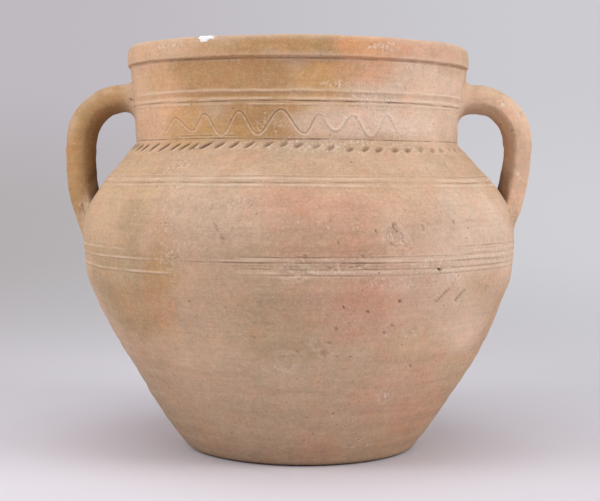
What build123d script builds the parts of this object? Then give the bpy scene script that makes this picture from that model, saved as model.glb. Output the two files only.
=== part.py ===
"""Two-handled terracotta storage jar, built from the sections that a potter throws and lutes together.

The jar stands on its base with its axis on +Z and the origin at the centre of the base.
The handles lie on +X and -X, and the front is -Y.
Lengths are millimetres and angles are degrees.
"""

from build123d import *
from math import cos, radians, sin
import os

# Outside of the jar, from the foot up
FOOT_RADIUS = 101.6
FOOT_ROUNDING = 3.0
LOWER_WALL_HEIGHT = 155.0
LOWER_WALL_CURVE = 605.0
BELLY_RADIUS = 192.6
BELLY_FULLNESS = 42.0
BAND_HEIGHT = 27.0
BAND_TAPER = 2.3
SHOULDER_HEIGHT = 89.6
SHOULDER_SLOPE = 40.0
SHOULDER_FULLNESS = 50.0
NECK_RADIUS = 144.6
NECK_HEIGHT = 66.4
NECK_FLARE = 4.8
RIM_HEIGHT = 17.0
RIM_OVERHANG = 3.8
RIM_BATTER = 2.6
RIM_ROUNDING = 2.5

# Thickness of the clay
WALL = 11.0
FLOOR = 13.0
NECK_WALL = 10.1
MOUTH_DROP = 5.5

# Luted seams, each with a ridge that keys into the section above it
BASE_SEAM_RISE = 11.0
BELLY_SEAM_RISE = 19.4
RIDGE_WIDTH = 5.0
RIDGE_HEIGHT = 3.0

# Turned grooves
GROOVE_WIDTH = 2.4
GROOVE_DEPTH = 0.9
BELLY_GROOVE_RISE = 12.4
BELLY_GROOVE_PITCH = 4.7
BELLY_GROOVE_COUNT = 4
SHOULDER_GROOVE_DROP = 28.8
SHOULDER_GROOVE_PITCH = 4.4
SHOULDER_GROOVE_COUNT = 3
NECK_LINE_RISE = 31.4
NECK_CHANNEL_RISE = 36.4
NECK_CHANNEL_WIDTH = 7.6
NECK_CHANNEL_DEPTH = 0.8

# Row of slanting notches under the neck, pressed with the edge of a round tool
NOTCH_COUNT = 62
NOTCH_DROP = 5.1
NOTCH_SLANT = 38.0
NOTCH_WIDTH = 2.6
NOTCH_DEPTH = 1.6
NOTCH_TOOL_RADIUS = 9.0

# Strap handles
HANDLE_THICKNESS = 26.0
HANDLE_WIDTH = 40.0
HANDLE_STAND_OFF = 17.9
HANDLE_ROOT_RISE = 39.4
HANDLE_NECK_RUN = 12.0
HANDLE_STRAIGHT = 21.5
HANDLE_RETURN_CURVE = 148.0
HANDLE_RETURN_ANGLE = 55.0

# Rolls of soft clay worked round the ends of the handles
LUTING_HEIGHT = 7.0
LUTING_SPREAD = 6.0
LUTING_WAIST = 2.6
LUTING_EDGE = 1.2
LUTING_SINK = 8.0

# Chip in the lip, filled with plaster
CHIP_ANGLE = -30.3
CHIP_RADIUS = 6.2

# Levels above the floor and radii that follow from the sizes
BELLY_LEVEL = LOWER_WALL_HEIGHT + BAND_HEIGHT
NECK_LEVEL = BELLY_LEVEL + SHOULDER_HEIGHT
RIM_LEVEL = NECK_LEVEL + NECK_HEIGHT
TOP_LEVEL = RIM_LEVEL + RIM_HEIGHT
BAND_RADIUS = BELLY_RADIUS - BAND_TAPER
NECK_TOP_RADIUS = NECK_RADIUS + NECK_FLARE
RIM_RADIUS = NECK_TOP_RADIUS + RIM_OVERHANG
RIM_TOP_RADIUS = RIM_RADIUS - RIM_BATTER
MOUTH_RADIUS = NECK_RADIUS - NECK_WALL
MOUTH_LEVEL = NECK_LEVEL - MOUTH_DROP

# Reach of construction faces, well past the jar
BEYOND = 2 * (TOP_LEVEL + BELLY_RADIUS + HANDLE_STAND_OFF)

# Half step in height over which the slope of the wall is read
SLOPE_STEP = 0.5


def corner_at(face, radius, level):
    """Corner of a half section that lies nearest to a radius and level."""
    return face.vertices().sort_by_distance((radius, level, 0))[0]


def outside_face():
    """Half section of the jar as if it were solid clay, in radius and level."""
    slope = radians(SHOULDER_SLOPE)
    foot = Line((0, 0), (FOOT_RADIUS, 0))
    lower_wall = RadiusArc((FOOT_RADIUS, 0), (BAND_RADIUS, LOWER_WALL_HEIGHT), -LOWER_WALL_CURVE)
    band = Line((BAND_RADIUS, LOWER_WALL_HEIGHT), (BELLY_RADIUS, BELLY_LEVEL))
    shoulder = Bezier(
        (BELLY_RADIUS, BELLY_LEVEL),
        (BELLY_RADIUS, BELLY_LEVEL + BELLY_FULLNESS),
        (NECK_RADIUS + SHOULDER_FULLNESS * sin(slope), NECK_LEVEL - SHOULDER_FULLNESS * cos(slope)),
        (NECK_RADIUS, NECK_LEVEL),
    )
    upper = Polyline(
        (NECK_RADIUS, NECK_LEVEL),
        (NECK_TOP_RADIUS, RIM_LEVEL),
        (RIM_RADIUS, RIM_LEVEL),
        (RIM_TOP_RADIUS, TOP_LEVEL),
        (0, TOP_LEVEL),
        (0, 0),
    )
    face = make_face([foot, lower_wall, band, shoulder, upper])
    face = fillet(corner_at(face, FOOT_RADIUS, 0), FOOT_ROUNDING)
    lip = [corner_at(face, RIM_RADIUS, RIM_LEVEL), corner_at(face, RIM_TOP_RADIUS, TOP_LEVEL)]
    return fillet(lip, RIM_ROUNDING)


def inside_face():
    """Half section of the room inside the jar, with a straight mouth above the shoulder."""
    slope = radians(SHOULDER_SLOPE)
    floor = Line((0, FLOOR), (FOOT_RADIUS, FLOOR))
    lower_wall = RadiusArc((FOOT_RADIUS, FLOOR), (BAND_RADIUS - WALL, LOWER_WALL_HEIGHT), -LOWER_WALL_CURVE)
    band = Line((BAND_RADIUS - WALL, LOWER_WALL_HEIGHT), (BELLY_RADIUS - WALL, BELLY_LEVEL))
    shoulder = Bezier(
        (BELLY_RADIUS - WALL, BELLY_LEVEL),
        (BELLY_RADIUS - WALL, BELLY_LEVEL + BELLY_FULLNESS),
        (MOUTH_RADIUS + SHOULDER_FULLNESS * sin(slope), MOUTH_LEVEL - SHOULDER_FULLNESS * cos(slope)),
        (MOUTH_RADIUS, MOUTH_LEVEL),
    )
    upper = Polyline((MOUTH_RADIUS, MOUTH_LEVEL), (MOUTH_RADIUS, TOP_LEVEL), (0, TOP_LEVEL), (0, FLOOR))
    return make_face([floor, lower_wall, band, shoulder, upper])


def wall_radii(face, level):
    """Least and greatest radius of a half section at a level."""
    line = Line((0, level), (BEYOND, level))
    radii = [vertex.X for vertex in (line & face).vertices()]
    return min(radii), max(radii)


def up_wall(face, level):
    """Direction that runs up the outside of a half section at a level."""
    below = wall_radii(face, level - SLOPE_STEP)[1]
    above = wall_radii(face, level + SLOPE_STEP)[1]
    return Vector(above - below, 2 * SLOPE_STEP).normalized()


def out_of_wall(face, level):
    """Direction that points straight out of the outside of a half section at a level."""
    along = up_wall(face, level)
    return Vector(along.Y, -along.X)


def groove(face, level, width, depth):
    """Round-bottomed groove in the outside of a half section."""
    radius = (width**2 / 4 + depth**2) / (2 * depth)
    surface = wall_radii(face, level)[1]
    return Pos(surface + radius - depth, level) * Circle(radius)


def grooves(face):
    """All the turned grooves of the outside."""
    belly = LOWER_WALL_HEIGHT + BELLY_GROOVE_RISE
    shoulder = NECK_LEVEL - SHOULDER_GROOVE_DROP
    levels = [belly + turn * BELLY_GROOVE_PITCH for turn in range(BELLY_GROOVE_COUNT)]
    levels += [shoulder - turn * SHOULDER_GROOVE_PITCH for turn in range(SHOULDER_GROOVE_COUNT)]
    levels += [NECK_LEVEL + NECK_LINE_RISE]
    cuts = [groove(face, level, GROOVE_WIDTH, GROOVE_DEPTH) for level in levels]
    cuts.append(groove(face, NECK_LEVEL + NECK_CHANNEL_RISE, NECK_CHANNEL_WIDTH, NECK_CHANNEL_DEPTH))
    return cuts


def notches(face):
    """Disc-shaped cutters for the row of notches, each turned up to the right as seen from outside."""
    level = NECK_LEVEL - NOTCH_DROP
    up = up_wall(face, level)
    middle = Vector(wall_radii(face, level)[1], level)
    middle += out_of_wall(face, level) * (NOTCH_TOOL_RADIUS - NOTCH_DEPTH)
    slant = radians(NOTCH_SLANT)
    tool_axis = (cos(slant) * up.X, -sin(slant), cos(slant) * up.Y)
    tool = Plane((middle.X, 0, middle.Y), z_dir=tool_axis) * Cylinder(NOTCH_TOOL_RADIUS, NOTCH_WIDTH)
    return [Rot(0, 0, turn * 360 / NOTCH_COUNT) * tool for turn in range(NOTCH_COUNT)]


def seam(wall, level):
    """Line across the wall at a seam, with its ridge in the middle of the clay."""
    inner, outer = wall_radii(wall, level)
    middle = (inner + outer) / 2
    return [
        (0, level),
        (middle - RIDGE_WIDTH / 2, level),
        (middle, level + RIDGE_HEIGHT),
        (middle + RIDGE_WIDTH / 2, level),
        (BEYOND, level),
    ]


def section(wall, lower_edge, upper_edge):
    """Ring of the wall between two seams."""
    part = wall & make_face(Polyline(*lower_edge, *reversed(upper_edge), close=True))
    return revolve(Plane.XZ * part, Axis.Z)


def handle_path():
    """Middle line of the right handle: out of the neck, down, and back into the shoulder."""
    root_level = NECK_LEVEL + HANDLE_ROOT_RISE
    neck_surface = NECK_RADIUS + NECK_FLARE * HANDLE_ROOT_RISE / NECK_HEIGHT
    middle = BELLY_RADIUS + HANDLE_STAND_OFF - HANDLE_THICKNESS / 2
    bend_start = (neck_surface + HANDLE_NECK_RUN, root_level)
    bend = middle - bend_start[0]
    bend_end = (middle, root_level - bend)
    drop_end = (middle, bend_end[1] - HANDLE_STRAIGHT)
    turn = radians(HANDLE_RETURN_ANGLE)
    inside = (
        middle - HANDLE_RETURN_CURVE * (1 - cos(turn)),
        drop_end[1] - HANDLE_RETURN_CURVE * sin(turn),
    )
    return [
        Line((MOUTH_RADIUS, root_level), bend_start),
        RadiusArc(bend_start, bend_end, bend),
        Line(bend_end, drop_end),
        RadiusArc(drop_end, inside, HANDLE_RETURN_CURVE),
    ]


def handle_bar():
    """Whole strap of the right handle, with ends that run on into the jar."""
    path = handle_path()
    start = Plane.XZ.from_local_coords(path[0] @ 0)
    cross_section = Plane(start, x_dir=(0, 1, 0), z_dir=(1, 0, 0)) * Ellipse(HANDLE_WIDTH / 2, HANDLE_THICKNESS / 2)
    return sweep(cross_section, path=Plane.XZ * Wire(path))


def luting(face, run):
    """Roll of clay where one run of the handle's middle line meets the outside of the jar."""
    entry = max((run & face).vertices(), key=lambda vertex: vertex.X)
    outward = run % run.param_at_point(entry)
    if outward.X < 0:
        outward = -outward
    up = up_wall(face, entry.Y)
    out = out_of_wall(face, entry.Y)
    lean = outward.dot(out)
    stations = [
        (-LUTING_SINK, LUTING_SPREAD),
        (LUTING_HEIGHT / 2, LUTING_WAIST),
        (LUTING_HEIGHT, LUTING_EDGE),
    ]
    outlines = []
    for rise, extra in stations:
        middle = Vector(entry.X, entry.Y) + outward * (rise / lean)
        plane = Plane((middle.X, 0, middle.Y), x_dir=(up.X, 0, up.Y), z_dir=(out.X, 0, out.Y))
        outlines.append(plane * Ellipse(HANDLE_THICKNESS / (2 * lean) + extra, HANDLE_WIDTH / 2 + extra))
    return loft(outlines)


def jar_parts():
    """Every piece of the jar, by name."""
    plain = outside_face()
    wall = plain - inside_face()
    for cut in grooves(plain):
        wall -= cut
    edges = [
        [(0, -BEYOND), (BEYOND, -BEYOND)],
        seam(wall, FLOOR + BASE_SEAM_RISE),
        seam(wall, LOWER_WALL_HEIGHT + BELLY_SEAM_RISE),
        seam(wall, NECK_LEVEL),
        seam(wall, RIM_LEVEL),
        [(0, BEYOND), (BEYOND, BEYOND)],
    ]
    names = ["base_dish", "lower_wall", "shoulder_wall", "neck_collar", "rim_ring"]
    parts = {name: section(wall, *pair) for name, *pair in zip(names, edges, edges[1:])}
    parts["shoulder_wall"] -= notches(plain)

    chip_turn = radians(CHIP_ANGLE)
    chip_centre = Pos(RIM_TOP_RADIUS * sin(chip_turn), -RIM_TOP_RADIUS * cos(chip_turn), TOP_LEVEL)
    chip = chip_centre * Sphere(CHIP_RADIUS)
    parts["rim_chip_fill"] = parts["rim_ring"] & chip
    parts["rim_ring"] -= chip

    solid_jar = revolve(Plane.XZ * plain, Axis.Z)
    bar = handle_bar()
    path = handle_path()
    parts["right_handle"] = bar - solid_jar
    parts["right_neck_luting"] = luting(plain, path[0]) - bar - solid_jar
    parts["right_shoulder_luting"] = luting(plain, path[-1]) - bar - solid_jar
    for name in ["handle", "neck_luting", "shoulder_luting"]:
        parts["left_" + name] = mirror(parts["right_" + name], about=Plane.YZ)
    return parts


if __name__ == "__main__":
    os.makedirs("parts", exist_ok=True)
    for name, part in jar_parts().items():
        export_step(part, f"parts/{name}.step")
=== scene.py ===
import logging
import math
from dataclasses import dataclass
from enum import Enum

import bpy
import numpy as np
from mathutils import Matrix, Vector


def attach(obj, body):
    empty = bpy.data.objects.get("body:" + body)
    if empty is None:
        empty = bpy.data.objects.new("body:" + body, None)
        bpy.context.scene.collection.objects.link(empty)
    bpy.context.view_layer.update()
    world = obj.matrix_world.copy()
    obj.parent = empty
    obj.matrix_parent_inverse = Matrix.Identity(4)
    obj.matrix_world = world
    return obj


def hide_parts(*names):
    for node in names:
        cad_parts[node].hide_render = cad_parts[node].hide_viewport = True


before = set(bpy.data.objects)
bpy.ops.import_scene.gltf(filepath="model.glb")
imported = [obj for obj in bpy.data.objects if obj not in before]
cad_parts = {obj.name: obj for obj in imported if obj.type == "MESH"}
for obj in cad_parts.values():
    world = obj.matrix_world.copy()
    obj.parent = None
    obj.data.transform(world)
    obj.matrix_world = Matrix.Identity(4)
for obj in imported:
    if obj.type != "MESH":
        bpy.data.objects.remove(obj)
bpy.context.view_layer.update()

LOG = logging.getLogger("storage_jar")
Array = np.ndarray
Numbers = np.ndarray | float
Piece = bpy.types.Object
Material = bpy.types.Material
Socket = bpy.types.NodeSocket
Colour = tuple[float, float, float, float]

MM = 0.001
FULL_TURN = 360.0
BODY = "root"
HANDLE_PARTS = ("handle", "neck_luting", "shoulder_luting")
MERGE_DISTANCE = 0.002 * MM
DOUBLINGS = 4
AXIS_FOOT = (0.0, 0.0, 0.0)
SHARP_EDGE = 50.0
STRONGEST_MARK = 2.0
FIRST_COLOUR, SECOND_COLOUR, MIXED_COLOUR = 6, 7, 2


def ramp(values: Numbers, start: float, end: float) -> Numbers:
    """Rise from 0 to 1 between two values, level at both ends.

    Args:
        values: Numbers to place between the two ends.
        start: Value at which the rise begins.
        end: Value at which the rise is complete.

    Returns:
        The height of the rise at each value.
    """
    share = np.clip((values - start) / (end - start), 0.0, 1.0)
    return share * share * (3.0 - 2.0 * share)


def hill(distance: Array, width: float) -> Array:
    """Height of a rounded hill of height 1 at a distance from its top."""
    return np.exp(-((distance / width) ** 2))


def angle_from(angles: Numbers, centre: float) -> Numbers:
    """Angles measured from a centre, in degrees from -180 to 180."""
    return (angles - centre + FULL_TURN / 2) % FULL_TURN - FULL_TURN / 2


def levels_between(start: float, end: float, step: float) -> list[float]:
    """Evenly spaced levels from one level to another.

    Args:
        start: First level.
        end: Last level, above or below the first.
        step: Widest spacing allowed.

    Returns:
        The levels, with both ends.
    """
    count = max(1, math.ceil(abs(end - start) / step))
    return [start + (end - start) * index / count for index in range(count + 1)]


def quarter_turn(steps: int, first: int = 0) -> list[float]:
    """Angles of a quarter turn in even steps, in radians, from one of the steps on."""
    return [math.radians(FULL_TURN / 4 / steps * step) for step in range(first, steps + 1)]


def even_turns(count: int) -> Array:
    """Angles of a number of even steps once round, in radians."""
    return np.linspace(0.0, 2.0 * math.pi, count, endpoint=False)


@dataclass(frozen=True)
class Ripple:
    """Smooth random swell through space, the same on every run.

    A swell is usually of its size in millimetres, and longer round the jar than up it by its stretch.
    It is the sum of a number of waves, and the seed starts its random draws.
    """

    seed: int
    size: float
    stretch: float = 1.0
    waves: int = 26

    def at(self, points: Array) -> Array:
        """Height of the swell.

        Args:
            points: Places in millimetres, one per row.

        Returns:
            Heights that are usually between -2 and 2.
        """
        chance = np.random.default_rng(self.seed)
        total = np.zeros(len(points))
        for _ in range(self.waves):
            direction = chance.normal(size=3)
            direction /= np.linalg.norm(direction)
            direction[:2] /= self.stretch
            length = self.size * chance.uniform(0.7, 1.6)
            phase = chance.uniform(0.0, 2.0 * math.pi)
            total += np.sin(points @ (direction * 2.0 * math.pi / length) + phase)
        return total / math.sqrt(self.waves / 2.0)


class Clay(Enum):
    """Colours of the fired clay and of what lies on it, as screen values from 0 to 255."""

    BUFF = (196, 163, 133)
    TAN = (199, 166, 132)
    OCHRE = (181, 141, 95)
    AMBER = (198, 154, 98)
    PEACH = (212, 171, 135)
    PINK = (201, 158, 132)
    ROSE = (199, 147, 119)
    ORANGE = (206, 150, 107)
    PALE = (213, 184, 160)
    OLIVE = (180, 152, 117)
    GREY_BUFF = (189, 163, 136)
    SAND = (203, 174, 146)
    FAWN = (207, 170, 142)
    INSIDE = (176, 133, 99)
    # Dark of dirt, also laid as painted shade.
    DIRT = (94, 66, 42)
    # Paleness of wear, also laid as painted highlight.
    PALE_WEAR_AND_HIGHLIGHT = (232, 207, 181)
    CRUST = (236, 214, 194)
    GRIT = (132, 98, 70)

    def linear(self) -> Array:
        """Colour as linear light from 0 to 1."""
        share = np.array(self.value) / 255.0
        return np.where(share <= 0.04045, share / 12.92, ((share + 0.055) / 1.055) ** 2.4)

    def socket(self) -> Colour:
        """Colour as a node socket takes it."""
        red, green, blue = self.linear()
        return (float(red), float(green), float(blue), 1.0)


class Side(Enum):
    """The two handles, as seen from the front."""

    LEFT = -1.0
    RIGHT = 1.0

    def angle(self) -> float:
        """Degrees round the jar from the front to the handle."""
        return self.value * FULL_TURN / 4


@dataclass
class Relief:
    """What hand, tool and wear did to a surface, one number per vertex.

    Attributes:
        height: Rise above the plain form in millimetres.
        cut: Darkness from 0 to 2, dirt in cuts and painted shade in creases, under the rim and at the foot.
        wear_and_highlight: Paleness from 0 to 2, wear on edges and painted highlight on lips and ridges.
        crust: Pale lime on the clay, from 0 to 2.
    """

    height: Array
    cut: Array
    wear_and_highlight: Array
    crust: Array

    @staticmethod
    def flat(count: int) -> "Relief":
        """Surface with nothing on it."""
        return Relief(*(np.zeros(count) for _ in range(4)))

    def lay(self, near: Array | slice, rise: Numbers, cut: Numbers, wear_and_highlight: Numbers, crust: Numbers) -> None:
        """Add a rise at some places and keep the stronger of the old and new marks there.

        Args:
            near: Which places.
            rise: Rise in millimetres.
            cut: Dirt, and painted shade.
            wear_and_highlight: Paleness of wear, and painted highlight.
            crust: Lime.
        """
        self.height[near] += rise
        for marks, values in ((self.cut, cut), (self.wear_and_highlight, wear_and_highlight), (self.crust, crust)):
            marks[near] = np.maximum(marks[near], values)

    def add(self, other: "Relief", weight: Numbers = 1.0) -> None:
        """Lay another relief over this one, by a share."""
        marks = (other.cut * weight, other.wear_and_highlight * weight, other.crust * weight)
        self.lay(slice(None), other.height * weight, *marks)

    def taken(self, order: Array) -> "Relief":
        """The same relief, with its places in another order."""
        return Relief(self.height[order], self.cut[order], self.wear_and_highlight[order], self.crust[order])


@dataclass(frozen=True)
class JarForm:
    """Sizes of the thrown jar in millimetres, and its radius at each level.

    The wall curves from the foot to a band under the belly, stands almost upright up to the belly,
    and curves over the shoulder to the neck. Each lean is a sideways shift of the crooked jar.
    """

    # Foot and lower wall
    foot_radius: float = 101.9
    foot_rounding: float = 2.6
    foot_undercut: float = 6.5
    lower_curve: float = 493.0
    lower_flat: float = 2.4
    flat_level: float = 57.0
    flat_reach: float = 36.0
    base_seam: float = 24.0
    # Belly and shoulder
    band_level: float = 155.0
    band_radius: float = 189.7
    belly_level: float = 182.0
    belly_radius: float = 192.5
    belly_fullness: float = 42.0
    shoulder_slope: float = 40.0
    shoulder_fullness: float = 50.0
    # Neck and rim
    neck_level: float = 271.6
    neck_radius: float = 144.0
    neck_top_radius: float = 148.4
    neck_curve: float = 1.5
    rim_level: float = 338.0
    rim_radius: float = 152.5
    rim_top_radius: float = 152.0
    top_level: float = 355.0
    # Inside
    wall: float = 11.0
    floor: float = 13.0
    mouth_radius: float = 134.5
    # Leans
    foot_lean: float = 3.0
    foot_lean_curve: float = 1.5
    straight_from: float = 150.0
    flat_lean: float = 2.0
    flat_lean_level: float = 72.0
    belly_lean: float = 0.7
    neck_lean: float = -1.2
    neck_lean_rise: float = 10.0
    neck_lean_reach: float = 30.0
    rim_lean: float = -2.0
    # Steps of the reckoning
    slope_step: float = 0.25
    steepest: float = 2.2
    curve_points: int = 400

    def _lower(self, level: Array) -> Array:
        """Radius of the curved wall between foot and belly.

        Args:
            level: Levels from the floor to the band under the belly.

        Returns:
            The radius at each level.
        """
        run = self.band_radius - self.foot_radius
        rise = self.band_level
        chord = math.hypot(run, rise)
        away = math.sqrt(self.lower_curve**2 - (chord / 2) ** 2)
        centre_radius = (self.foot_radius + self.band_radius) / 2 - away * rise / chord
        centre_level = rise / 2 + away * run / chord
        radius = centre_radius + np.sqrt(self.lower_curve**2 - (level - centre_level) ** 2)
        radius = radius - self.lower_flat * hill(level - self.flat_level, self.flat_reach)
        low = np.clip((self.foot_rounding - level) / self.foot_rounding, 0.0, 1.0)
        return radius - self.foot_undercut * (1.0 - np.sqrt(1.0 - low**2))

    def _shoulder(self, level: Array) -> Array:
        """Radius of the shoulder, a curve from the upright belly to the neck.

        Args:
            level: Levels above the floor.

        Returns:
            The radius at each level.
        """
        slope = math.radians(self.shoulder_slope)
        t = np.linspace(0.0, 1.0, self.curve_points)
        radii = (self.belly_radius, self.belly_radius,
                 self.neck_radius + self.shoulder_fullness * math.sin(slope), self.neck_radius)
        rises = (self.belly_level, self.belly_level + self.belly_fullness,
                 self.neck_level - self.shoulder_fullness * math.cos(slope), self.neck_level)
        shares = ((1 - t) ** 3, 3 * t * (1 - t) ** 2, 3 * t**2 * (1 - t), t**3)
        curve_radius = sum(share * value for share, value in zip(shares, radii))
        curve_level = sum(share * value for share, value in zip(shares, rises))
        return np.interp(level, curve_level, curve_radius)

    def outside(self, level: Array) -> Array:
        """Radius of the outside of the wall below the rim.

        Args:
            level: Levels above the floor.

        Returns:
            The radius at each level.
        """
        level = np.asarray(level, float)
        clipped = np.clip(level, 0.0, self.band_level)
        band_share = (level - self.band_level) / (self.belly_level - self.band_level)
        band = self.band_radius + (self.belly_radius - self.band_radius) * band_share
        neck_share = np.clip((level - self.neck_level) / (self.rim_level - self.neck_level), 0.0, 1.0)
        neck = self.neck_radius + (self.neck_top_radius - self.neck_radius) * neck_share**self.neck_curve
        zones = [level < self.band_level, level < self.belly_level, level < self.neck_level]
        return np.select(zones, [self._lower(clipped), band, self._shoulder(level)], neck)

    def slope(self, level: Array) -> Array:
        """How fast the outside radius grows with the level.

        Args:
            level: Levels above the floor.

        Returns:
            Millimetres of radius per millimetre of level.
        """
        level = np.asarray(level, float)
        step = self.slope_step
        rise = (self.outside(level + step) - self.outside(level - step)) / (2 * step)
        return np.clip(rise, -self.steepest, self.steepest)

    def inside(self, level: Array) -> Array:
        """Radius of the inside of the wall.

        Args:
            level: Levels above the floor.

        Returns:
            The radius at each level, above the belly at least that of the mouth.
        """
        level = np.asarray(level, float)
        thick = self.wall * np.sqrt(1.0 + self.slope(level) ** 2)
        wide = self.outside(level) - thick
        return np.where(level > self.belly_level, np.maximum(wide, self.mouth_radius), wide)

    def lean(self, level: Array) -> Array:
        """Sideways shift of the slightly crooked jar.

        Args:
            level: Levels above the floor.

        Returns:
            The shift to the right at each level.
        """
        level = np.asarray(level, float)
        low = np.clip(1.0 - level / self.straight_from, 0.0, 1.0)
        high = ramp(level, self.belly_level, self.rim_level)
        shift = self.foot_lean * low**self.foot_lean_curve + self.rim_lean * high
        shift = shift + self.belly_lean + self.flat_lean * hill(level - self.flat_lean_level, self.flat_reach)
        neck_level = self.neck_level + self.neck_lean_rise
        return shift + self.neck_lean * hill(level - neck_level, self.neck_lean_reach)

    def place(self, angle: Array, radius: Array, level: Array) -> Array:
        """Points in space, with the front at -Y.

        Args:
            angle: Degrees round the jar from the front, to the right.
            radius: Distances from the axis.
            level: Levels above the floor.

        Returns:
            One point in millimetres per row.
        """
        turn = np.radians(angle)
        x = radius * np.sin(turn) + self.lean(level)
        return np.stack([x, -radius * np.cos(turn), level], axis=1)

    def unplace(self, points: Array) -> tuple[Array, Array, Array]:
        """Where points lie on the jar.

        Args:
            points: One point in millimetres per row.

        Returns:
            The angle, radius and level of each point.
        """
        level = points[:, 2]
        x = points[:, 0] - self.lean(level)
        return np.degrees(np.arctan2(x, -points[:, 1])), np.hypot(x, points[:, 1]), level


@dataclass(frozen=True)
class TurnedLine:
    """A line drawn by a tool while the jar turned on the wheel.

    Its depth is below 0 for a ridge, and its width is half the true width. It runs to the right from its
    start over its span, and each end dies out over its fade. It climbs by its rise at the angle rise_at.
    A wobble is a height, waves round the jar and phase, and a patch is waves and phase of its strength.
    """

    level: float
    depth: float
    width: float
    start: float = -180.0
    span: float = 360.0
    fade: float = 7.0
    dirt: float = 0.75
    rise: float = 0.0
    rise_at: float = -80.0
    rise_width: float = 48.0
    wobbles: tuple[tuple[float, int, int], ...] = ((0.22, 3, 1), (0.16, 8, 2))
    patches: tuple[tuple[int, int], ...] = ((11, 5), (25, 9), (43, 1))

    def press(self, angle: Array, level: Array) -> Relief:
        """Relief that the tool leaves.

        Args:
            angle: Degrees round the jar.
            level: Levels above the floor.

        Returns:
            The cut or ridge with its lips.
        """
        along = (angle - self.start) % FULL_TURN
        strength = np.ones_like(along)
        if self.span < FULL_TURN:
            strength = ramp(along, 0.0, self.fade)
            strength = strength * (1.0 - ramp(along, self.span - self.fade, self.span))
            strength = np.where(along > self.span, 0.0, strength)
        turn = np.radians(angle)
        wobble = sum(rise * np.sin(waves * turn + phase * self.level) for rise, waves, phase in self.wobbles)
        patchy = sum(np.sin(waves * turn + phase * self.level) for waves, phase in self.patches)
        strength = strength * np.clip(0.78 + 0.22 * patchy, 0.2, 1.15)
        middle = self.level + wobble + self.rise * hill(angle_from(angle, self.rise_at), self.rise_width)
        across = (level - middle) / self.width
        core = np.exp(-(across**2)) * strength
        edges = hill(np.abs(across) - 1.75, 0.7) * strength
        relief = Relief.flat(len(angle))
        # A groove gets paler lips and a ridge a paler top with dark beside it: wear and dirt, with painted
        # highlight and shade.
        if self.depth > 0.0:
            relief.height = self.depth * (0.35 * edges - core)
            relief.cut = self.dirt * core
            relief.wear_and_highlight = 0.7 * edges
        else:
            relief.height = -self.depth * (core - 0.2 * edges)
            relief.cut = 0.3 * self.dirt * edges
            relief.wear_and_highlight = 0.95 * core
        return relief


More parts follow.
